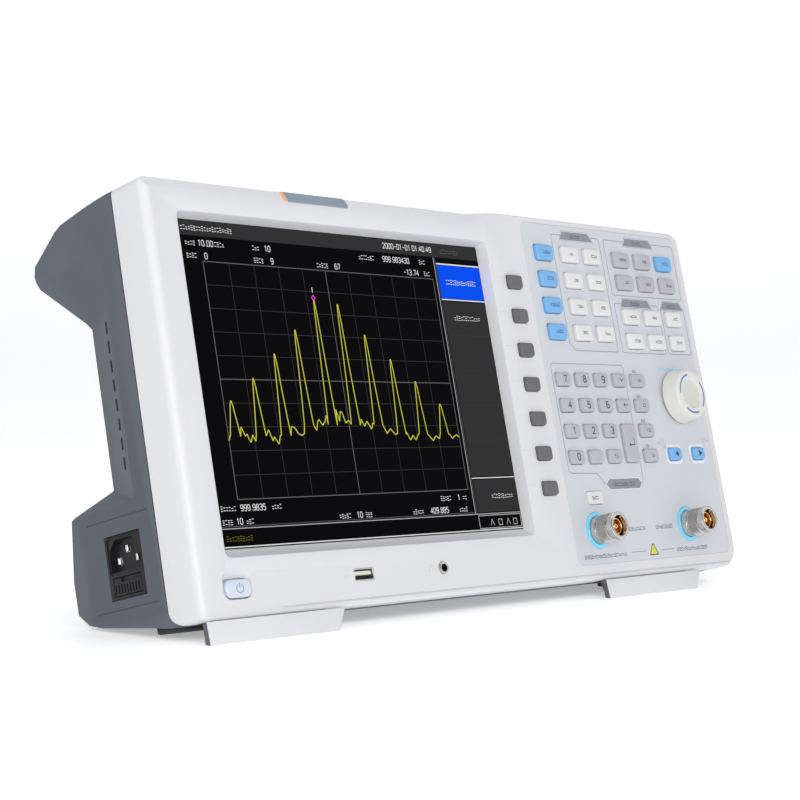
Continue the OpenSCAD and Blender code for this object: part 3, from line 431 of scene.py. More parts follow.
# number block frame running down to its label
PR.add(*stroke([(95, 53.4), (93.5, 54.5), (88, 60), (65.5, 60.5), (63.5, 62.4), (63.5, 122.2), (65, 123.7), (129, 123.7), (130.4, 122.3), (130.4, 56), (129.6, 53.4)], LWD, PY - 0.02, PY), 0)
hexa = [(95.3, 53.3), (98.2, 50.4), (125.6, 50.4), (128.5, 53.3), (125.6, 56.3), (98.2, 56.3)]
PR.add(*prism([(p[0] + (0.4 if p[0] > 112 else -0.4), p[1] + (0.35 if p[1] > 53.3 else -0.35 if p[1] < 53.3 else 0)) for p in hexa], PY - 0.035, PY - 0.004), 2)
PR.add(*prism(hexa, PY - 0.05, PY - 0.01), 1)
greek(PR, 101.5, 52.1, 2.4, 15, PY - 0.05, 0.5, 7, depth=0.015)
for k in UNIT: greek(PR, k[0] - 2.2, k[1] + 5.1, 1.8, 4, PY - 0.0, 0.42, 7, depth=0.02)
for k in FUNC: pass
for i in range(7): # blue dotted dashes over the knob
    x = 166 + i * 3.5; PR.add(*prism(rrect(x, 122.2, 2.4 if i % 2 else 1.6, 1.3, 0.5, 2), PY - 0.02, PY), 6)
for x0, x1, z0, z1 in ((154, 159, 72.2, 79.8), (196, 201, 75, 80)):
    PR.add(*prism([(x0, z0), (x1, z0 + 1.4), (x1, z1 - 1.4), (x0, z1)], PY - 0.02, PY), 4)
PR.add(*stroke([(150.5, 77.3), (154, 76)], 0.3, PY - 0.02, PY), 0); PR.add(*stroke([(201, 77.5), (203.4, 77.5)], 0.3, PY - 0.02, PY), 0)
for k in ARL + ARR: rframe(k[0] - k[2] / 2 - 1.6, k[0] + k[2] / 2 + 1.6, k[1] - k[3] / 2 - 1.5, k[1] + k[3] / 2 + 1.5, 2.4, 1.5, 2)
greek(PR, 106, 26, 2.3, 14, PY, 0.5, 7, depth=0.02); greek(PR, 134, 26, 2.3, 13, PY, 0.5, 7, depth=0.02)
greek(PR, 64, 12, 2.3, 30, PY, 0.5, 7, depth=0.02); greek(PR, 151, 12, 2.3, 24, PY, 0.5, 7, depth=0.02)
PR.add(*stroke([(107, 13.6), (121, 13.6)], 0.35, PY - 0.02, PY), 3); PR.add(*stroke([(136, 13.6), (148, 13.6)], 0.35, PY - 0.02, PY), 3)
PR.add(*prism([(124.3, 11.2), (132.1, 11.2), (128.9, 17.2), (127.5, 17.2)], PY - 0.02, PY), 5)
PR.add(*stroke([(124.3, 11.2), (132.1, 11.2), (128.9, 17.2), (127.5, 17.2)], 0.6, PY - 0.035, PY - 0.02, closed=True), 7)
pr = PR.piece("panel_print", ["ink_line", "ink_head", "ink_white", "ink_mark", "ink_soft", "ink_yellow", "ink_cyan", "ink_dark"], weld=False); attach(pr, "chassis")
# marks on the bezel itself: softkey leaders and port marks
BZ = Acc()
for k in SOFT: BZ.add(*stroke([(27.6, k[1] + 2.2), (33.5, k[1] + 2.2), (35.2, k[1] + 0.6)], 0.22, -0.012, 0.0), 0)
greek(BZ, USB[0] - 14.2, USB[1] - 1.0, 1.9, 4, 0.0, 0.3, 0, depth=0.012)
BZ.add(*stroke(arc(JACK[0] - 8.5, JACK[1] + 0.2, 1.7, 0, 180, 10), 0.32, -0.012, 0.0), 0)
for q in (-1, 1): BZ.add(*prism(rrect(JACK[0] - 8.5 + q * 1.7, JACK[1] - 0.6, 0.8, 1.6, 0.3, 2), -0.012, 0), 0)
bz = BZ.piece("bezel_marks", ["ink_soft"], weld=False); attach(bz, "chassis")

# ================================================================ keys
CAPP = [(0.0, -1.15), (0.07, -1.55), (0.24, -1.93), (0.50, -2.19), (0.85, -2.34), (1.35, -2.43), (2.0, -2.48), (2.8, -2.5)]
def cap(acc, k, r=1.6, out=2.5, mat=0, soft=1.0, dish=0.0):
    cx, cz, w, h = k; sc = out / 2.5
    L = [at_y(rrect(cx, cz, w, h, r, 6), 3.4), at_y(rrect(cx, cz, w, h, r, 6), -0.2 * sc)]
    for ins, y in CAPP:
        ins *= soft; L.append(at_y(rrect(cx, cz, w - 2 * ins, h - 2 * ins, max(0.5, r - ins * 0.5), 6), y * sc))
    acc.add(*loft(L), mat)
    acc.add(*prism(rrect(cx, cz, w + 1.8, h + 1.8, r, 4), 3.12, 4.1), mat)
    acc.add(*revolve([(1.8, 4.1), (1.8, 5.2)], cx, cz, 20), mat)
def legend_arrow(acc, cx, cz, dx, dz, s, y, w, mat):
    acc.add(*stroke([(cx - dx * s, cz - dz * s), (cx + dx * s, cz + dz * s)], w, y - 0.03, y), mat)
    a = (cx + dx * s, cz + dz * s); px, pz = -dz, dx; q = s * 0.62
    acc.add(*stroke([(a[0] - dx * q + px * q, a[1] - dz * q + pz * q), a, (a[0] - dx * q - px * q, a[1] - dz * q - pz * q)], w, y - 0.03, y), mat)
def tri(acc, cx, cz, dx, dz, s, y, mat):
    px, pz = -dz, dx
    acc.add(*prism([(cx + dx * s, cz + dz * s), (cx - dx * s * .7 + px * s, cz - dz * s * .7 + pz * s), (cx - dx * s * .7 - px * s, cz - dz * s * .7 - pz * s)], y - 0.03, y), mat)
def keys(node, ks, mat, body=None, r=1.6, out=2.5, legends=(), inkm="ink_navy", soft=1.0):
    a = Acc()
    for k in ks: cap(a, k, r, out, soft=soft)
    ob = a.piece(node + "_caps", [mat], 40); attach(ob, body or node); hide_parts(node)
    if legends:
        l = Acc()
        for fn in legends: fn(l)
        lo = l.piece(node + "_legends", [inkm], weld=False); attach(lo, body or node)
YL = -2.5
def words(k, n, h=1.9, dx=0.6, dz=0.0, lines=1):
    def f(acc):
        for j in range(lines):
            nn = n if j == 0 else max(3, n - 1)
            greek(acc, k[0] + dx - nn * 0.28 * h, k[1] + dz - h / 2 + (lines - 1) * 1.35 - j * 2.7, h, nn, YL, 0.5, 0)
    return f
def dig(k, t, h=3.7, w=0.7, dx=0.2):
    return lambda acc: digits(acc, t, k[0] - 0.3 * h + dx, k[1] - h / 2, h, YL, w, 0)
for i, k in enumerate(SOFT): keys("softkey_%d" % (i + 1), [k], "key_dark", soft=0.8)
for i, k in enumerate(FUNC): keys("function_key_%d" % (i + 1), [k], "key_blue", r=2.0, legends=[words(k, [6, 5, 7, 6][i], 2.1)])
keys("preset_key", PRE, "key_blue", legends=[words(PRE[0], 6, 2.1)])
keys("control_keys", CTRL, "key_white", legends=[words(k, [3, 4, 5, 5, 5, 5, 4, 5][i]) for i, k in enumerate(CTRL)])
keys("utility_keys", UTIL, "key_grey", legends=[words(k, [6, 4, 4, 5, 5][i]) for i, k in enumerate(UTIL)])
keys("marker_keys", MARK, "key_white", legends=[words(k, [6, 5, 4, 6][i]) for i, k in enumerate(MARK)])
keys("measure_keys", MEAS, "key_white", legends=[words(k, [4, 5][i], lines=1) for i, k in enumerate(MEAS)])
T4 = [["7", "8", "9"], ["4", "5", "6"], ["1", "2", "3"], ["0", ".", "+"]]
for r in range(4):
    lg = [dig(NUM[r][i], T4[r][i]) for i in range(3) if T4[r][i] != "+"]
    if r == 0: lg.append(lambda a, k=NUM[0][3]: a.add(*stroke([(k[0] - 1.5, k[1] + 0.9), (k[0], k[1] - 0.9), (k[0] + 1.5, k[1] + 0.9)], 0.5, YL - 0.03, YL)) and None)
    if r == 1: lg.append(lambda a, k=NUM[1][3]: legend_arrow(a, k[0], k[1], -1, 0, 1.9, YL, 0.5, 0))
    if r == 3: lg.append(lambda a, k=NUM[3][2]: (digits(a, "+", k[0] - 1.9, k[1] - 0.9, 2.6, YL, 0.42, 0), digits(a, "/", k[0] - 0.4, k[1] - 1.6, 3.0, YL, 0.36, 0), digits(a, "-", k[0] + 0.9, k[1] - 2.0, 2.6, YL, 0.42, 0)) and None)
    keys("number_row_%d" % (r + 1), NUM[r], "key_grey", legends=lg)
E = ENT[0]
keys("enter_key", ENT, "key_grey", legends=[lambda a: (a.add(*stroke([(E[0] + 2.0, E[1] + 2.8), (E[0] + 2.0, E[1] - 1.2), (E[0] - 1.6, E[1] - 1.2)], 0.5, YL - 0.03, YL)), tri(a, E[0] - 2.2, E[1] - 1.2, -1, 0, 1.1, YL, 0)) and None])
keys("unit_keys", UNIT, "key_grey", legends=[words(k, [3, 3, 3, 2][i], 2.1) for i, k in enumerate(UNIT)])
keys("arrow_key_left", ARL, "key_blue", r=1.4, legends=[lambda a, k=ARL[0]: tri(a, k[0], k[1], -1, 0, 1.9, YL, 0)])
keys("arrow_key_right", ARR, "key_blue", r=1.4, legends=[lambda a, k=ARR[0]: tri(a, k[0], k[1], 1, 0, 1.9, YL, 0)])
ta = Acc(); cap(ta, TG[0], 1.2, 1.0); to = ta.piece("tg_key_cap", ["key_white"], 40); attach(to, "tg_key"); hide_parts("tg_key")
tl = Acc(); greek(tl, TG[0][0] - 3.2, TG[0][1] - 1.0, 2.0, 5, -1.0, 0.5, 0); tlo = tl.piece("tg_key_legend", ["ink_navy"], weld=False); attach(tlo, "tg_key")
# power button
pa = Acc(); L = [at_y(rrect(PWR[0], PWR[1], PWR[2], PWR[3], 3.5, 8), 3.4)]
for ins, y in ((0, -0.35), (0.08, -0.6), (0.28, -0.85), (0.6, -1.04), (1.1, -1.14), (1.8, -1.18), (2.6, -1.2)):
    L.append(at_y(rrect(PWR[0], PWR[1], PWR[2] - 2 * ins, PWR[3] - 2 * ins, max(0.8, 3.5 - ins * 0.8), 8), y))
pa.add(*loft(L)); pa.add(*prism(rrect(PWR[0], PWR[1], PWR[2] + 2.4, PWR[3] + 1, 2.5, 4), 3.15, 4.4)); pa.add(*revolve([(2, 4.4), (2, 6.6)], PWR[0], PWR[1], 20))
po = pa.piece("power_button_cap", ["btn"], 40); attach(po, "power_button"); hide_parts("power_button")
pi = Acc(); pi.add(*stroke(arc(PWR[0] + 0.3, PWR[1] - 0.1, 2.0, 120, 420, 22), 0.45, -1.23, -1.19), 0); pi.add(*stroke([(PWR[0] + 0.3, PWR[1] + 0.3), (PWR[0] + 0.3, PWR[1] + 2.5)], 0.45, -1.23, -1.19), 0)
pio = pi.piece("power_icon", ["trim"], weld=False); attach(pio, "power_button")

# ================================================================ knob
R = 16.5
kp = [(3.1, -1.25), (14.6, -1.25), (14.7, -1.1), (16.2, -1.05), (16.45, -1.2), (16.5, -1.6), (16.5, -2.0), (16.3, -2.5), (16.0, -5), (15.3, -8.0), (14.95, -9.5), (14.75, -10.2), (14.4, -10.65), (13.9, -10.92), (13.3, -11.0),
      (9.6, -11.0), (9.1, -10.9), (8.75, -10.6), (8.6, -10.2), (8.4, -9.95), (8.0, -9.85), (5.0, -9.82), (0.05, -9.8)]
ka = Acc(); ka.add(*revolve(kp, KX, KZ, 128, cap0=False)); kn = ka.piece("knob_body", ["ivory", "knob_face"], 35)
for p in kn.data.polygons:
    c = p.center; q = M_ROW.inverted() @ c; 
    if math.hypot(q.x - KX, q.z - KZ) < 8.5 and q.y < -9: p.material_index = 1
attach(kn, "knob"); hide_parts("knob")
kb = Acc()
for a0, a1 in ((98, 178), (-42, 38), (228, 290)): kb.add(*stroke(arc(KX, KZ, 11.7, a0, a1, 28), 1.15, -11.03, -10.99), 0)
kbo = kb.piece("knob_arcs", ["knob_blue"], weld=False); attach(kbo, "knob")
es = Acc(); es.add(*revolve([(3, 6.6), (3, -9)], KX, KZ, 40)); eso = es.piece("encoder_pin", ["alu"]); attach(eso, "knob"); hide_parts("encoder_shaft")

# ================================================================ N jacks and their rings
def n_jack(node, c):
    a = Acc()
    p = [(3.2, 13), (3.2, 9.2), (6.4, 9), (6.4, 6.6), (10.6, 6.6), (10.6, 3.2), (7.9, 3.2), (7.9, -3.6), (7.75, -3.9), (7.2, -4.0), (7.2, -4.9), (7.5, -5.05)]
    y = -5.1
    while y > -10.9: p += [(7.9, y - 0.22), (7.9, y - 0.36), (7.42, y - 0.58), (7.42, y - 0.66)]; y -= 0.75
    p += [(7.2, y - 0.1), (6.9, y - 0.2), (6.9, -12.2), (7.55, -12.35), (7.75, -12.6), (7.75, -15.4), (7.5, -15.8), (7.1, -16.0), (6.2, -16.0), (5.85, -15.85), (5.7, -15.5), (5.7, -8.0)]
    a.add(*revolve(p, c[0], c[1], 96, cap0=True, cap1=False), 0)
    a.add(*revolve([(5.7, -8.0), (4.6, -7.9)], c[0], c[1], 96, False, False), 1)
    a.add(*revolve([(4.6, -7.9), (4.6, -13.2), (4.45, -13.4), (3.9, -13.4), (3.8, -13.2), (3.8, -7.6), (1.9, -7.5)], c[0], c[1], 72, False, False), 2)
    a.add(*revolve([(1.9, -7.5), (1.9, -8.6), (1.5, -8.7)], c[0], c[1], 48, False, False), 3)
    a.add(*revolve([(1.5, -8.7), (1.5, -12.6), (1.2, -12.95), (0.7, -13), (0.65, -12.6), (0.6, -9), (0.05, -9)], c[0], c[1], 48, False, False), 2)
    ob = a.piece(node + "_barrel", ["nickel", "nickel_dark", "gold", "ptfe"], 28, fix=False)
    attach(ob, "chassis"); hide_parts(node)
n_jack("rf_input_connector", NRF); n_jack("tg_output_connector", NTG)
ra = Acc()
for n in (NRF, NTG): ra.add(*revolve([(8.1, 1.2), (8.1, -0.6), (8.3, -0.78), (8.7, -0.8), (9.7, -0.8), (10.1, -0.7), (10.3, -0.4), (10.3, 1.2), (8.1, 1.2)], n[0], n[1], 96, False, False))
ro = ra.piece("light_rings", ["ring"], 35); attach(ro, "chassis"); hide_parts("connector_rings")

# ================================================================ USB, jack
ua = Acc().add(*prism(rrect(USB[0], USB[1], 13.2, 5.8, 0.6, 4), 0.15, 11)).raw("usb_shell")
cut(ua, [prism(rrect(USB[0], USB[1], 12.4, 5.0, 0.4, 4), -1, 10.2)])
finish_piece(ua, ["alu"], 30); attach(ua, "chassis"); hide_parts("usb_port")
ut = Acc(); ut.add(*box((USB[0] - 5.6, 1.2, USB[1] - 0.1), (USB[0] + 5.6, 10.4, USB[1] + 1.7)), 0)
ut.add(*box((USB[0] - 6.2, 9.6, USB[1] - 2.5), (USB[0] + 6.2, 10.3, USB[1] + 2.5)), 2)
for q in (-3.5, -1.2, 1.2, 3.5): ut.add(*box((USB[0] + q - 0.5, 2.0, USB[1] - 0.22), (USB[0] + q + 0.5, 9.6, USB[1] - 0.1)), 1)
uto = ut.piece("usb_tongue", ["ptfe", "gold", "black"]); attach(uto, "chassis")
ja = Acc(); ja.add(*revolve([(3.2, 4), (3.2, -0.55), (3.05, -0.8), (2.8, -0.9), (2.3, -0.9), (2.05, -0.75), (1.95, -0.4), (1.9, 0.2)], JACK[0], JACK[1], 56, False, False), 0)
ja.add(*revolve([(1.9, 0.2), (1.8, 0.3), (1.8, 9.0), (0.05, 9.0)], JACK[0], JACK[1], 56, False, False), 1)
jo = ja.piece("jack_collar", ["nickel", "black"], 30, fix=False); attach(jo, "chassis"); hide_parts("audio_jack")

# ================================================================ screen picture (face axes -> body axes), thin layers in front of the window
def FX(x): return SX0 + x
def FZ(z): return SZ0 + z
SC = Acc()   # 0 black 1 bar 2 blue 3 white 4 light 5 grid 6 frame 7 yellow 8 olive 9 magenta
def sbox(x0, x1, z0, z1, lay, mat): SC.add(*box((FX(x0), 6 - 0.03 * lay, FZ(z0)), (FX(x1), 6 - 0.03 * lay + 0.028, FZ(z1))), mat)
def sline(pts, w, lay, mat, closed=False): SC.add(*stroke([(FX(a), FZ(b)) for a, b in pts], w, 6 - 0.03 * lay, 6 - 0.03 * lay + 0.028, closed), mat)
sbox(0.2, 211.0, 0.2, 158.2, 1, 0)
sbox(0.2, 211.0, 150.5, 158.2, 2, 1)
for i in range(1, 10):
    sline([(12.5 + 15.95 * i, 23), (12.5 + 15.95 * i, 138)], 0.30, 2, 5); sline([(12.5, 23 + 11.5 * i), (172, 23 + 11.5 * i)], 0.30, 2, 5)
sline([(92.2, 23), (92.2, 138)], 0.38, 3, 6); sline([(12.5, 80.5), (172, 80.5)], 0.38, 3, 6)
sline([(12.5, 23), (172, 23), (172, 138), (12.5, 138)], 0.4, 3, 6, True)
for i in range(1, 50):
    if i % 5: sline([(12.5 + 3.19 * i, 79.8), (12.5 + 3.19 * i, 81.2)], 0.22, 3, 5)
# trace: ten peaks over a noisy floor
peaks = [(17, 70), (33, 81), (49, 93.5), (65, 106), (81, 122), (97, 120.5), (113, 105), (129, 92.5), (145, 81), (161, 69)]
valley = [(12.5, 51), (13.3, 53), (14.2, 51), (15, 52), (19.5, 54), (21, 57.5), (23, 53), (24.2, 54), (25, 51.5), (26, 50), (27.5, 53.5), (29, 50.5), (30, 51.5), (31, 53), (36, 53), (38, 56), (40, 50.5), (41, 52.5), (43.5, 49), (45, 53), (46.5, 52), (51.5, 54), (53, 57.5), (55, 57), (57, 54), (59, 53), (61, 54), (62.5, 59), (67, 60), (69.5, 55.5), (71, 60), (72, 61), (74, 58), (76, 60), (77.5, 63), (84.5, 66), (86, 60), (87.3, 65), (88.5, 64.5), (90, 59), (92, 60.5), (94, 63), (99.5, 62), (101, 61), (103, 57.5), (105, 60), (107.5, 56), (109, 59), (111, 56), (115, 54), (117, 56), (118, 53.5), (121, 56), (124, 53), (126, 57), (131, 57), (132.5, 54), (134.5, 50), (137, 52.5), (138.5, 50), (141, 53), (143, 51), (146.5, 54), (148, 51), (151.5, 49.5), (154, 52), (156.5, 50.5), (158.5, 54), (162.8, 50), (165, 52.5), (166.5, 50.5), (168, 51.5), (170, 52.5), (172, 51)]
tr = [v for v in valley if all(abs(v[0] - p[0]) > 3.4 for p in peaks)]
for px, pz in peaks:
    b = 56 if pz < 100 else 61
    tr += [(px - 3.2, b - 2.5), (px - 2.4, b + (pz - b) * .18), (px - 1.5, b + (pz - b) * .52), (px - 0.75, b + (pz - b) * .86), (px - 0.15, pz), (px + 0.25, pz), (px + 0.85, b + (pz - b) * .85), (px + 1.5, b + (pz - b) * .5), (px + 2.3, b + (pz - b) * .17), (px + 3.0, b - 3)]
tr.sort()
for a, b in zip(tr, tr[1:]): sline([a, b], 0.52, 4, 7)
sline([(81, 124.6), (79.9, 123.2), (81, 121.9), (82.1, 123.2)], 0.5, 5, 9, True); sline([(81, 126), (81, 128.6)], 0.4, 5, 3)
# menu column
sline([(174.8, 9.6), (174.8, 150.3)], 0.42, 3, 4); sline([(175.9, 9.6), (175.9, 150.3)], 0.3, 3, 6)
sbox(176.6, 210.9, 127.6, 146.4, 3, 2); sbox(176.4, 210.9, 146.6, 147.3, 4, 3); sbox(176.4, 210.9, 126.7, 127.3, 4, 3)
sbox(176.8, 210.8, 29.6, 126, 2, 1); sbox(176.8, 210.8, 10.4, 28.0, 2, 1)
for z in (107.2, 87.9, 68.6, 49.3): sline([(176.8, z), (210.8, z)], 0.3, 3, 5)
sline([(176.4, 28.8), (210.8, 28.8)], 0.45, 4, 3); sline([(0.3, 9.5), (210.9, 9.5)], 0.42, 3, 4); sline([(0.3, 10.5), (174.6, 10.5)], 0.25, 3, 6); sline([(0.5, 0.9), (210.8, 0.9)], 0.5, 3, 3)
sline([(176.8, 1.8), (210.4, 1.8), (210.4, 8.6), (176.8, 8.6)], 0.4, 3, 4, True)
for x, k in ((187, 0), (193.5, 1), (200, 0), (205.5, 1)):
    if k: sline([(x - 1.4, 3.2), (x + 1.4, 3.2), (x + 1.4, 6.2), (x - 1.4, 6.2)], 0.4, 4, 4, True)
    else: sline([(x - 1.5, 3.2), (x, 6.4), (x + 1.5, 3.2)], 0.4, 4, 4)
def word(x, z, n, h=2.6, mat=3, w=0.31):
    r_ = random.Random(int(x * 31 + z * 7))
    for k in range(n):
        for q in r_.choice([(0.12, 0.66), (0.05, 0.45, 0.86), (0.1, 0.8), (0.2, 0.6), (0.08, 0.5), (0.0, 0.4, 0.75)]): sline([(x, z - h / 2 + q * h), (x + 0.42 * h, z - h / 2 + q * h)], w, 5, mat)
        x += 0.62 * h
    return x
def dword(x, z, t, h=2.8, mat=3, w=0.33):
    for ch in t:
        if ch == ' ': x += h * 0.4; continue
        for pl in DIG[ch]: sline([(x + p[0] * h * 0.9, z - h / 2 + p[1] * h) for p in pl], w, 5, mat)
        x += h * (0.76 if ch not in '.:' else 0.42)
    return x
word(1.4, 154.4, 20); dword(137, 154.4, "2000-01-01 01:40:49")
word(3, 147, 4); dword(11, 147, "10.00"); word(21, 147, 4); word(45, 147, 3); dword(53, 147, "10"); word(118, 147, 7); dword(135.5, 147, "999.983430"); word(163, 147, 3)
word(3, 140.7, 4); dword(14, 140.7, "0"); word(45, 140.7, 4); dword(56, 140.7, "9"); word(87, 140.7, 5); dword(99.5, 140.7, "67"); dword(150, 140.7, "-13.74"); word(165.5, 140.7, 3)
word(1.5, 19, 6); dword(13.5, 19, "999.9835"); word(33, 19, 4); word(150, 19, 5); dword(163, 19, "1"); word(167, 19, 2)
word(1.5, 12.7, 4); dword(10, 12.7, "10"); word(16, 12.7, 3); word(76, 12.7, 5); dword(88, 12.7, "10"); word(94, 12.7, 3); word(128, 12.7, 5); dword(141, 12.7, "409.885"); word(163, 12.7, 4)
word(2.6, 4.9, 10, 2.6, 8)
word(182, 137, 14, 2.8, 3, 0.38); word(184, 117, 12, 2.8); word(190, 19, 10, 2.8); word(181, 154.2, 9, 2.6, 6)
sc = SC.piece("screen_picture", ["scr_black", "scr_bar", "scr_blue", "scr_white", "scr_lite", "scr_grid", "scr_frame", "scr_yellow", "scr_olive", "scr_magenta"], weld=False)
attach(sc, "chassis")

# ================================================================ rear case
rear_out = [(39, 2.6), (74, 7.4), (84, 10), (91.5, 16), (92, 32), (89, 52), (87.5, 61), (62, 71), (62, 150), (66, 154), (89.5, 177), (92, 184), (90.5, 189), (71, 201), (66, 203), (24.3, TOPL)]
rear_in = [(15, 12), (15, 2.6), (39, 5.2), (73.5, 10), (83, 12.4), (89, 17.5), (89.4, 32), (86.4, 52), (85, 59.2), (59.4, 69.2), (59.4, 151), (64, 155.6), (87, 178.6), (89.2, 184), (88.2, 187.6), (70, 198.6), (65.5, 200.4), (24, 205.8), (24, 12)]
def case_o(d):
    x1 = HW - d
    return (arc(-x1 + 4, d + 4, 4, 180, 270, 5) + arc(x1 - 13, d + 13, 13, 270, 360, 8) + arc(x1 - 6, TOPL - d - 6, 6, 0, 90, 6) + arc(-x1 + 4, TOPL - d - 4, 4, 90, 180, 5))
heel_c = [(14 + 9.98 * math.cos(math.radians(-a)) + 0.3, 10 + 9.98 * math.sin(math.radians(-a))) for a in [i * 7.5 for i in range(11)]]
case = Acc().add(*prism_x(rear_out + heel_c + [(17, 0.0), (24.3, 0.0)], -HW - 1, HW + 1)).raw("case_shell")
boolean(case, Acc().add(*prism(case_o(0.0), 13, 96)).raw("c"), 'INTERSECT')
def flank(s, d, y): return at_y([(s * (HW + 2), 60), (s * (HW + 0.05), 62), (s * (HW - d), 62 + 8.5 * d / 8), (s * (HW - d), 180 - 26 * d / 8), (s * (HW + 0.05), 180), (s * (HW + 2), 182)], y)
cut(case, [loft([flank(s, 0.02, 37), flank(s, 8, 62), flank(s, 8, 97)]) for s in (-1, 1)])
slot_p = [(34, 216), (34, 166), (52, 158), (70, 158.1), (66, 176), (62, 182), (62, 216)]
cut(case, [prism_x(slot_p, -62, 62)])
bevel(case, 1.1, 3, 20)
inner = Acc().add(*prism_x(rear_in, -HW + WALL, HW - WALL)).raw("i")
boolean(inner, Acc().add(*prism(case_o(WALL), 13.5, 95)).raw("c"), 'INTERSECT')
def flank_i(s, d, y): return at_y([(s * (HW + 1), 57), (s * (HW - 1.2), 59), (s * (HW - d), 59 + 9.5 * d / 11), (s * (HW - d), 183 - 28 * d / 11), (s * (HW - 1.2), 183), (s * (HW + 1), 184)], y)
cut(inner, [loft([flank_i(s, 2.1, 34.4), flank_i(s, 10.9, 62), flank_i(s, 10.9, 97)]) for s in (-1, 1)])
cut(inner, [box((-64.6, 31.4, 152), (64.6, 96, 216))])
boolean(case, inner)
cut(case, [box((-HW - 1, 36.7, 18.3), (-HW + 4, 64.1, 48.7))] + [box((f[2] - 0.4, 10, -1), (f[3] + 0.4, 20.4, 6.9)) for f in FEET])
vents = []
for s in (-1, 1):
    for i in range(8):
        cx = s * (HW - 2.6); o = rrect(43, 80.3 + i * 9.36, 2.5, 6.0, 0.8, 3)
        vents.append(prism_x(o, cx - 4.5, cx + 4.5))
cut(case, vents)
rearc = []
for i in range(-4, 5):
    hwid = math.sqrt(900 - 36 * i * i) - 2; rearc.append(prism(rrect(FAN[0], FAN[1] + i * 6, 2 * hwid, 2.8, 1.2, 3), 58, 63))
rearc += [revolve([(5.2, 58), (5.2, 63)], b[0], b[1], 32) for b in BNC]
rearc += [box((-146.6, 58, 85.4), (-130, 63, 99)), box((-120.4, 58, 85.4), (-107.8, 63, 97)), box((-96.4, 58, 85.4), (-65, 63, 98))]
rearc += [revolve([(2.2, 56), (2.2, 59.6), (4.0, 59.6), (4.0, 64)], s[0], s[1], 32) for s in SCREWS]
cut(case, rearc)
# parting groove round the lower flank, shallow grooves at the back
cut(case, [box((s * HW - 0.45, 29, z), (s * HW + 0.45, 76, z + 0.6)) for s in (-1, 1) for z in (13.4, 56.0)])
finish_piece(case, ["grey"], 28)
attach(case, "chassis"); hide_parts("rear_case")
CASE_NODES = [n for n in ("carry_bar", "rear_skirt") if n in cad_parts]
if CASE_NODES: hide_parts(*CASE_NODES)
# dark backing inside the side vents, small rating plate at the back
bk = Acc()
# painted shade: black sheets just behind the side vents stand in for the shade inside them
for s in (-1, 1): bk.add(*box((s * 203.8 - 0.4, 39, 74), (s * 203.8 + 0.4, 47, 152)))
bo = bk.piece("vent_painted_shade", ["black"]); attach(bo, "chassis")
lp = Acc(); lp.add(*prism(rrect(20, 112, 54, 30, 2, 4), 62.0, 62.15), 0)
for j in range(5): greek(lp, 0, 100 + j * 4.6, 2.0, [22, 18, 24, 16, 20][j], 62.17, 0.3, 1, depth=0.02)
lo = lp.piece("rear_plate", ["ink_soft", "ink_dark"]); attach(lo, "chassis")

# ================================================================ mains inlet, fuse drawer
inl = Acc().add(*prism_x(rrect(50.4, 33.5, 27, 30, 1.2, 4), -210.4, -183)).raw("inlet")
bevel(inl, 0.35, 2, 40)
cut(inl, [prism_x([(38.9, 31.4), (61.9, 31.4), (61.9, 41.6), (56.9, 46.6), (43.9, 46.6), (38.9, 41.6)], -212, -194)])
cut(inl, [box((-212, 39.5, 20.0), (-188.4, 61.3, 29.0))])
# bevelled frame: a shallow step round the socket
cut(inl, [prism_x(rrect(50.4, 38.9, 24.8, 17.2, 1.5, 4), -212, -209.9)])
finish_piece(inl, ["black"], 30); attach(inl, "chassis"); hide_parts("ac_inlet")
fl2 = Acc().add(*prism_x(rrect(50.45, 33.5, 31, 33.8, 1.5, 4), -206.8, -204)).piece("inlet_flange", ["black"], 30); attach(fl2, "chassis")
pn = Acc()
for y, z in ((43.4, 36.4), (57.4, 36.4), (50.4, 41.6)):
    pn.add(*loft([at_x(rrect(y, z, 2.0, 4.0, 0.3, 2), -193.4), at_x(rrect(y, z, 2.0, 4.0, 0.3, 2), -207.8), at_x(rrect(y, z, 1.3, 3.0, 0.3, 2), -208.5)]))
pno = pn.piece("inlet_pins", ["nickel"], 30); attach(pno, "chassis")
fd = Acc().add(*box((-210.4, 39.8, 20.3), (-189, 61, 28.7))).raw("drawer"); bevel(fd, 0.4, 2, 40)
cut(fd, [box((-207.6, 40.3, 22), (-193.6, 60.5, 30)), box((-212, 46, 26.4), (-209.4, 55, 30))])
cut(fd, [box((-211, 41.5 + 2.2 * i, 21.2), (-210.05, 42.5 + 2.2 * i, 25.4)) for i in range(9)])
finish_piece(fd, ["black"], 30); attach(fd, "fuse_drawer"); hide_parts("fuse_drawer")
fu = Acc()
for x in (-204.4, -197.2):
    fu.add(*revolve([(2.35, 40.6), (2.35, 60.0)], x, 24.6, 32), 0)
    for y in (40.35, 55.2): fu.add(*revolve([(2.3, y), (2.5, y + 0.2), (2.5, y + 4.8), (2.3, y + 5.0)], x, 24.6, 32), 1)
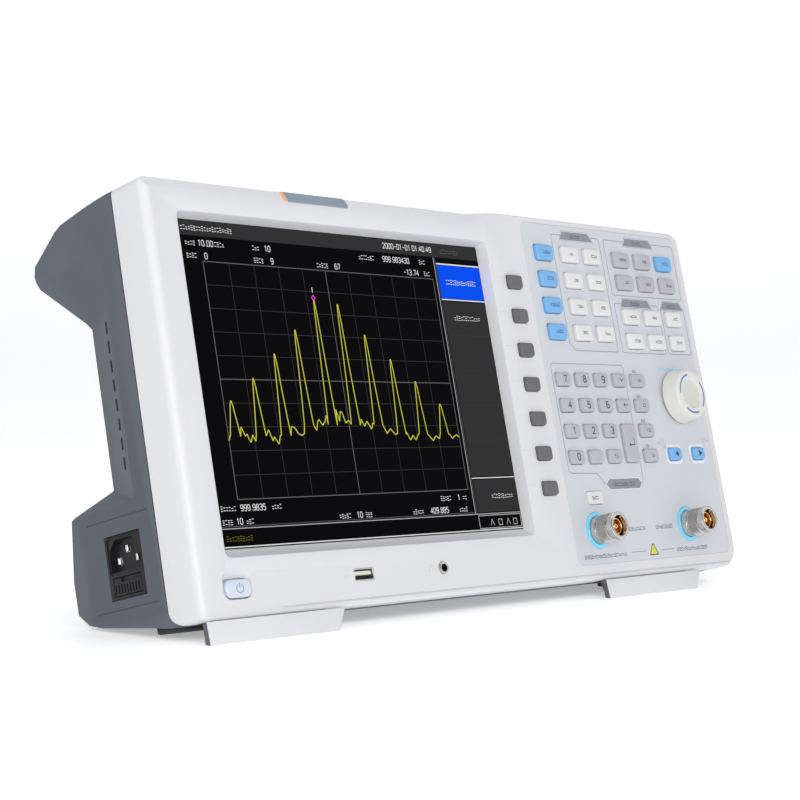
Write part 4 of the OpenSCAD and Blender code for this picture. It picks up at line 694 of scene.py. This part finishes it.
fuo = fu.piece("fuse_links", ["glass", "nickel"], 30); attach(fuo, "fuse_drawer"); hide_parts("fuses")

# ================================================================ feet
def foot(name, f, node):
    bl = Acc().add(*prism_x([(-1.9, -0.45), (-2.6, fl(-2.6) + 0.02), (0.9, fl(0.9) + 0.02), (0.9, -0.45)], f[0], f[1])).raw(name)
    ex = f[1]
    # slanted right end
    cut(bl, [prism([(ex, -0.4), (ex - 7.1, -12.5), (ex + 5, -12.5), (ex + 5, -0.4)], -6, 8)])
    nk = Acc().add(*prism_x([(0.5, -0.45), (0.5, fl(0.5) + 0.02), (3.4, fl(3.4) + 0.02), (6.8, -5.6), (8, -0.6), (7.9, 3.6), (7.4, 5.2), (6.4, 6.1), (5.2, 6.35), (4.0, 6.1), (3.0, 5.2), (2.6, 3.6), (2.5, -0.45)], f[2], f[3])).raw("nk")
    boolean(bl, nk, 'UNION')
    cut(bl, [prism_x([(5.2 + 1.56 * math.cos(i * math.pi / 12), 3.6 + 1.56 * math.sin(i * math.pi / 12)) for i in range(24)], f[2] - 1, f[3] + 1)])
    # finger relief and ribs at the back of the neck
    n_ = 5; st = (f[3] - f[2]) / n_
    cut(bl, [box((f[2] + st * i + 2, 5.6, -4.0), (f[2] + st * (i + 1) - 2, 9, 0.8)) for i in range(n_)])
    bevel(bl, 0.35, 2, 32)
    finish_piece(bl, ["white", "foot_dark"], 30)
    # painted shade: faces turned to -x take the dark slate colour instead of the white
    for p in bl.data.polygons:
        if p.normal.x < -0.6: p.material_index = 1
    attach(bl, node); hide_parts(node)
foot("front_foot_l", FEET[0], "foot_left"); foot("front_foot_r", FEET[1], "foot_right")
rf = Acc()
for x in (-150, 150):
    rf.add(*prism_x([(74, 11.2), (74, fl(74) + 0.02), (84, fl(84) + 0.02), (84, 12.5)], x - 11, x + 11))
# dark strips in the rubber finish under the bottom edge at both sides; the right one is short so it stays behind the
# right foot
for a, b in ((-207.5, -130), (118, 168)): rf.add(*prism_x([(21.6, 0), (24, 0), (37.5, 2.34), (37.2, -0.6), (35.8, -1.3), (22.4, -1.7), (21.6, -1)], a, b))
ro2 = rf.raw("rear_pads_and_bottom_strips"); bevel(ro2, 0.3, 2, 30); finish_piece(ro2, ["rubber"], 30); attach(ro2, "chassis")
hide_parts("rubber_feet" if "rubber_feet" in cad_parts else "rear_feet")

# ================================================================ rear sockets, screws, fan, trim
ba = Acc()
for x, z in BNC:
    ba.add(*revolve([(4.6, 52), (4.6, 62)], x, z, 40))
    ba.add(*loft([[(x + 7 * math.cos(math.radians(60 * i + 30)), y, z + 7 * math.sin(math.radians(60 * i + 30))) for i in range(6)] for y in (62.02, 64.3)]))
    ba.add(*revolve([(4.75, 62), (4.75, 66.0), (4.3, 66.2), (4.3, 67.2), (4.75, 67.4), (4.75, 74.9), (4.45, 75.45), (4.1, 75.5), (4.05, 75.2), (4.05, 66)], x, z, 64, False, True))
    ba.add(*revolve([(3.2, 66), (3.2, 74.2), (2.6, 74.2), (2.6, 66)], x, z, 48, False, False), 1)
    ba.add(*revolve([(1.1, 66), (1.1, 72.6), (0.7, 73)], x, z, 24), 2)
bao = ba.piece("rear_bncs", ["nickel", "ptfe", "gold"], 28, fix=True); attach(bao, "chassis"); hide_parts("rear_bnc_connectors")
dp = Acc()
for x0, x1, z1 in ((-146.4, -130.2, 98.8), (-120.2, -108, 96.8), (-96.2, -65.2, 97.8)):
    cx, cz, w, h = (x0 + x1) / 2, (85.6 + z1) / 2, x1 - x0, z1 - 85.6
    dp.add(*loft([at_y(rrect(cx, cz, w, h, 0.6, 3), 50), at_y(rrect(cx, cz, w, h, 0.6, 3), 62.2), at_y(rrect(cx, cz, w - 0.5, h - 0.5, 0.6, 3), 62.4), at_y(rrect(cx, cz, w - 3.6, h - 3.4, 1.2, 4), 62.42), at_y(rrect(cx, cz, w - 4.0, h - 3.8, 1.1, 4), 63.2), at_y(rrect(cx, cz, w - 4.8, h - 4.6, 0.9, 4), 63.38)]))
    for i in range(3): dp.add(*box((cx - w * 0.18, 63.36, cz - 1.6 + i * 1.4), (cx + w * 0.18, 63.5, cz - 1.1 + i * 1.4)))
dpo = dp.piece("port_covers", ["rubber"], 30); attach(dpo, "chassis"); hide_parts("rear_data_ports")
sw = Acc()
for x, z in SCREWS: sw.add(*revolve([(1.6, 17.6), (1.6, 59.62), (3.6, 59.62), (3.6, 60.9), (3.3, 61.5), (2.6, 61.75), (0.05, 61.8)], x, z, 40))
swo = sw.raw("screws"); cut(swo, [box((s[0] - 2.2, 60.8, s[1] - 0.4), (s[0] + 2.2, 62, s[1] + 0.4)) for s in SCREWS]); cut(swo, [box((s[0] - 0.4, 60.8, s[1] - 2.2), (s[0] + 0.4, 62, s[1] + 2.2)) for s in SCREWS])
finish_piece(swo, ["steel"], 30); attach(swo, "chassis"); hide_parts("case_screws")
fr = Acc(); fr.add(*revolve([(2.25, 57.6), (11.2, 57.6), (12, 57.0), (12, 46.6), (2.3, 46.6)], FAN[0], FAN[1], 64, False, False))
for i in range(7):
    a = i * 2 * math.pi / 7; L = []
    for q in range(6):
        rr_ = 11 + 16 * q / 5; tw = math.radians(38 - 14 * q / 5); ang = a + 0.35 * q / 5; th = 0.7 - 0.06 * q; ch = 5.4
        sec = []
        for u, v in ((-ch, -th), (0, -th * 1.4), (ch, -th * .6), (ch, th * .6), (0, th * 1.4), (-ch, th)):
            t_ = u * math.cos(tw) - v * math.sin(tw); y_ = u * math.sin(tw) + v * math.cos(tw)
            sec.append((FAN[0] + rr_ * math.cos(ang) - t_ * math.sin(ang), 51.6 + y_, FAN[1] + rr_ * math.sin(ang) + t_ * math.cos(ang)))
        L.append(sec)
    fr.add(*loft(L))
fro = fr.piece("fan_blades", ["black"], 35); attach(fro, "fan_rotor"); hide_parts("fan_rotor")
# trim strip on the sloping edge
SL = math.atan(5.7 / 10.6)
def slope_pt(u, v, w): # u along x, v up the slope, w out of it
    return (u, -0.5 + v * math.sin(SL) - w * math.cos(SL), 201.4 + v * math.cos(SL) + w * math.sin(SL))
ts = Acc()
def on_slope(o, steps, mat):
    ts.add(*loft([[slope_pt(p[0] , p[1], w) for p in o(d)] for d, w in steps]), mat)
on_slope(lambda d: [(-119.5, 7.85 - d), (-119.5, 1.15 + d)] + arc(-79.3, 3.15, 2 - d, 270, 360, 8) + arc(-79.3, 5.85, 2 - d, 0, 90, 8), ((0, 0.0), (0, 0.42), (0.1, 0.58), (0.35, 0.66), (0.8, 0.68)), 0)
on_slope(lambda d: rrect(-120.5, 4.5, 2 - 2 * d, 6.7 - 2 * d, 0.4, 4), ((0, 0.0), (0, 0.45), (0.12, 0.62), (0.3, 0.68)), 1)
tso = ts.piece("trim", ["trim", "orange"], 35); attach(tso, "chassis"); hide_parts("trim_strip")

# ---------------------------------------------------------------- finishes on the inner CAD nodes
NODE_MAT = {"display_window": "scr_black", "lcd_module": "steel", "chassis_plate": "steel", "main_board": "pcb", "rf_module": "alu", "power_supply": "pcb", "fan_frame": "black",
            "key_board": "pcb", "front_io_board": "pcb", "front_boards": "pcb", "keypad_mat": "silicone", "encoder_body": "steel", "foot_pins": "steel", "rf_cables": "copper"}
M["window"] = plastic("window_black", (0.012, 0.012, 0.014), rough=0.30, grain=2200, bump=0.05, var=0.05, spec=0.1)
NODE_MAT["display_window"] = "window"
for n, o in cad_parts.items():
    k = NODE_MAT.get(n)
    if k:
        o.data.materials.clear(); o.data.materials.append(M[k])

# ---------------------------------------------------------------- set
fm, nt, b = new_mat("floor"); N = nt.nodes.new; L = nt.links.new
tc = N("ShaderNodeTexCoord"); n1 = N("ShaderNodeTexNoise"); n1.inputs["Scale"].default_value = 3; L(tc.outputs["Object"], n1.inputs["Vector"])
rp = N("ShaderNodeValToRGB"); rp.color_ramp.elements[0].color = (0.93, 0.93, 0.935, 1); rp.color_ramp.elements[1].color = (0.96, 0.96, 0.96, 1)
b.inputs["Emission Color"].default_value = (1, 1, 1, 1); b.inputs["Emission Strength"].default_value = 0.33
L(n1.outputs["Fac"], rp.inputs["Fac"]); L(rp.outputs["Color"], b.inputs["Base Color"]); b.inputs["Roughness"].default_value = 0.55
fa = Acc(); prof = [(-3.0, 0), (2.2, 0), (2.6, 0.06), (2.9, 0.22), (3.05, 0.5), (3.1, 1.0), (3.1, 3.2)]
dirv = Vector((0.717, 0.697)); perp = Vector((0.697, -0.717))
vs = []
for t, z in prof:
    for q in (-4, 4): vs.append((dirv.x * t + perp.x * q, dirv.y * t + perp.y * q, z))
fa.add(vs, [(2 * i, 2 * i + 1, 2 * i + 3, 2 * i + 2) for i in range(len(prof) - 1)])
fo = fa.raw("floor"); fo.data.materials.append(fm)
for p in fo.data.polygons: p.use_smooth = True
def area(name, loc, target, size, power, col=(1, 1, 1), sy=None):
    d = bpy.data.lights.new(name, 'AREA'); d.energy = power; d.size = size; d.color = col
    if sy: d.shape = 'RECTANGLE'; d.size_y = sy
    o = bpy.data.objects.new(name, d); bpy.context.scene.collection.objects.link(o)
    o.location = loc; o.rotation_euler = (Vector(target) - Vector(loc)).to_track_quat('-Z', 'Y').to_euler(); return o
area("key", (-1.2, -1.5, 0.45), (-0.1, 0, 0.08), 0.9, 17)
area("fill_right", (1.8, -1.6, 0.9), (0, 0, 0.1), 1.6, 5)
area("left_card", (-2.2, 0.6, 1.1), (0, 0, 0.1), 1.4, 7)
area("top", (0.1, 0.2, 2.4), (0, 0, 0), 2.2, 14)
w = bpy.data.worlds.new("world"); bpy.context.scene.world = w; w.use_nodes = True
w.node_tree.nodes["Background"].inputs["Color"].default_value = (0.95, 0.96, 1.0, 1); w.node_tree.nodes["Background"].inputs["Strength"].default_value = 0.42
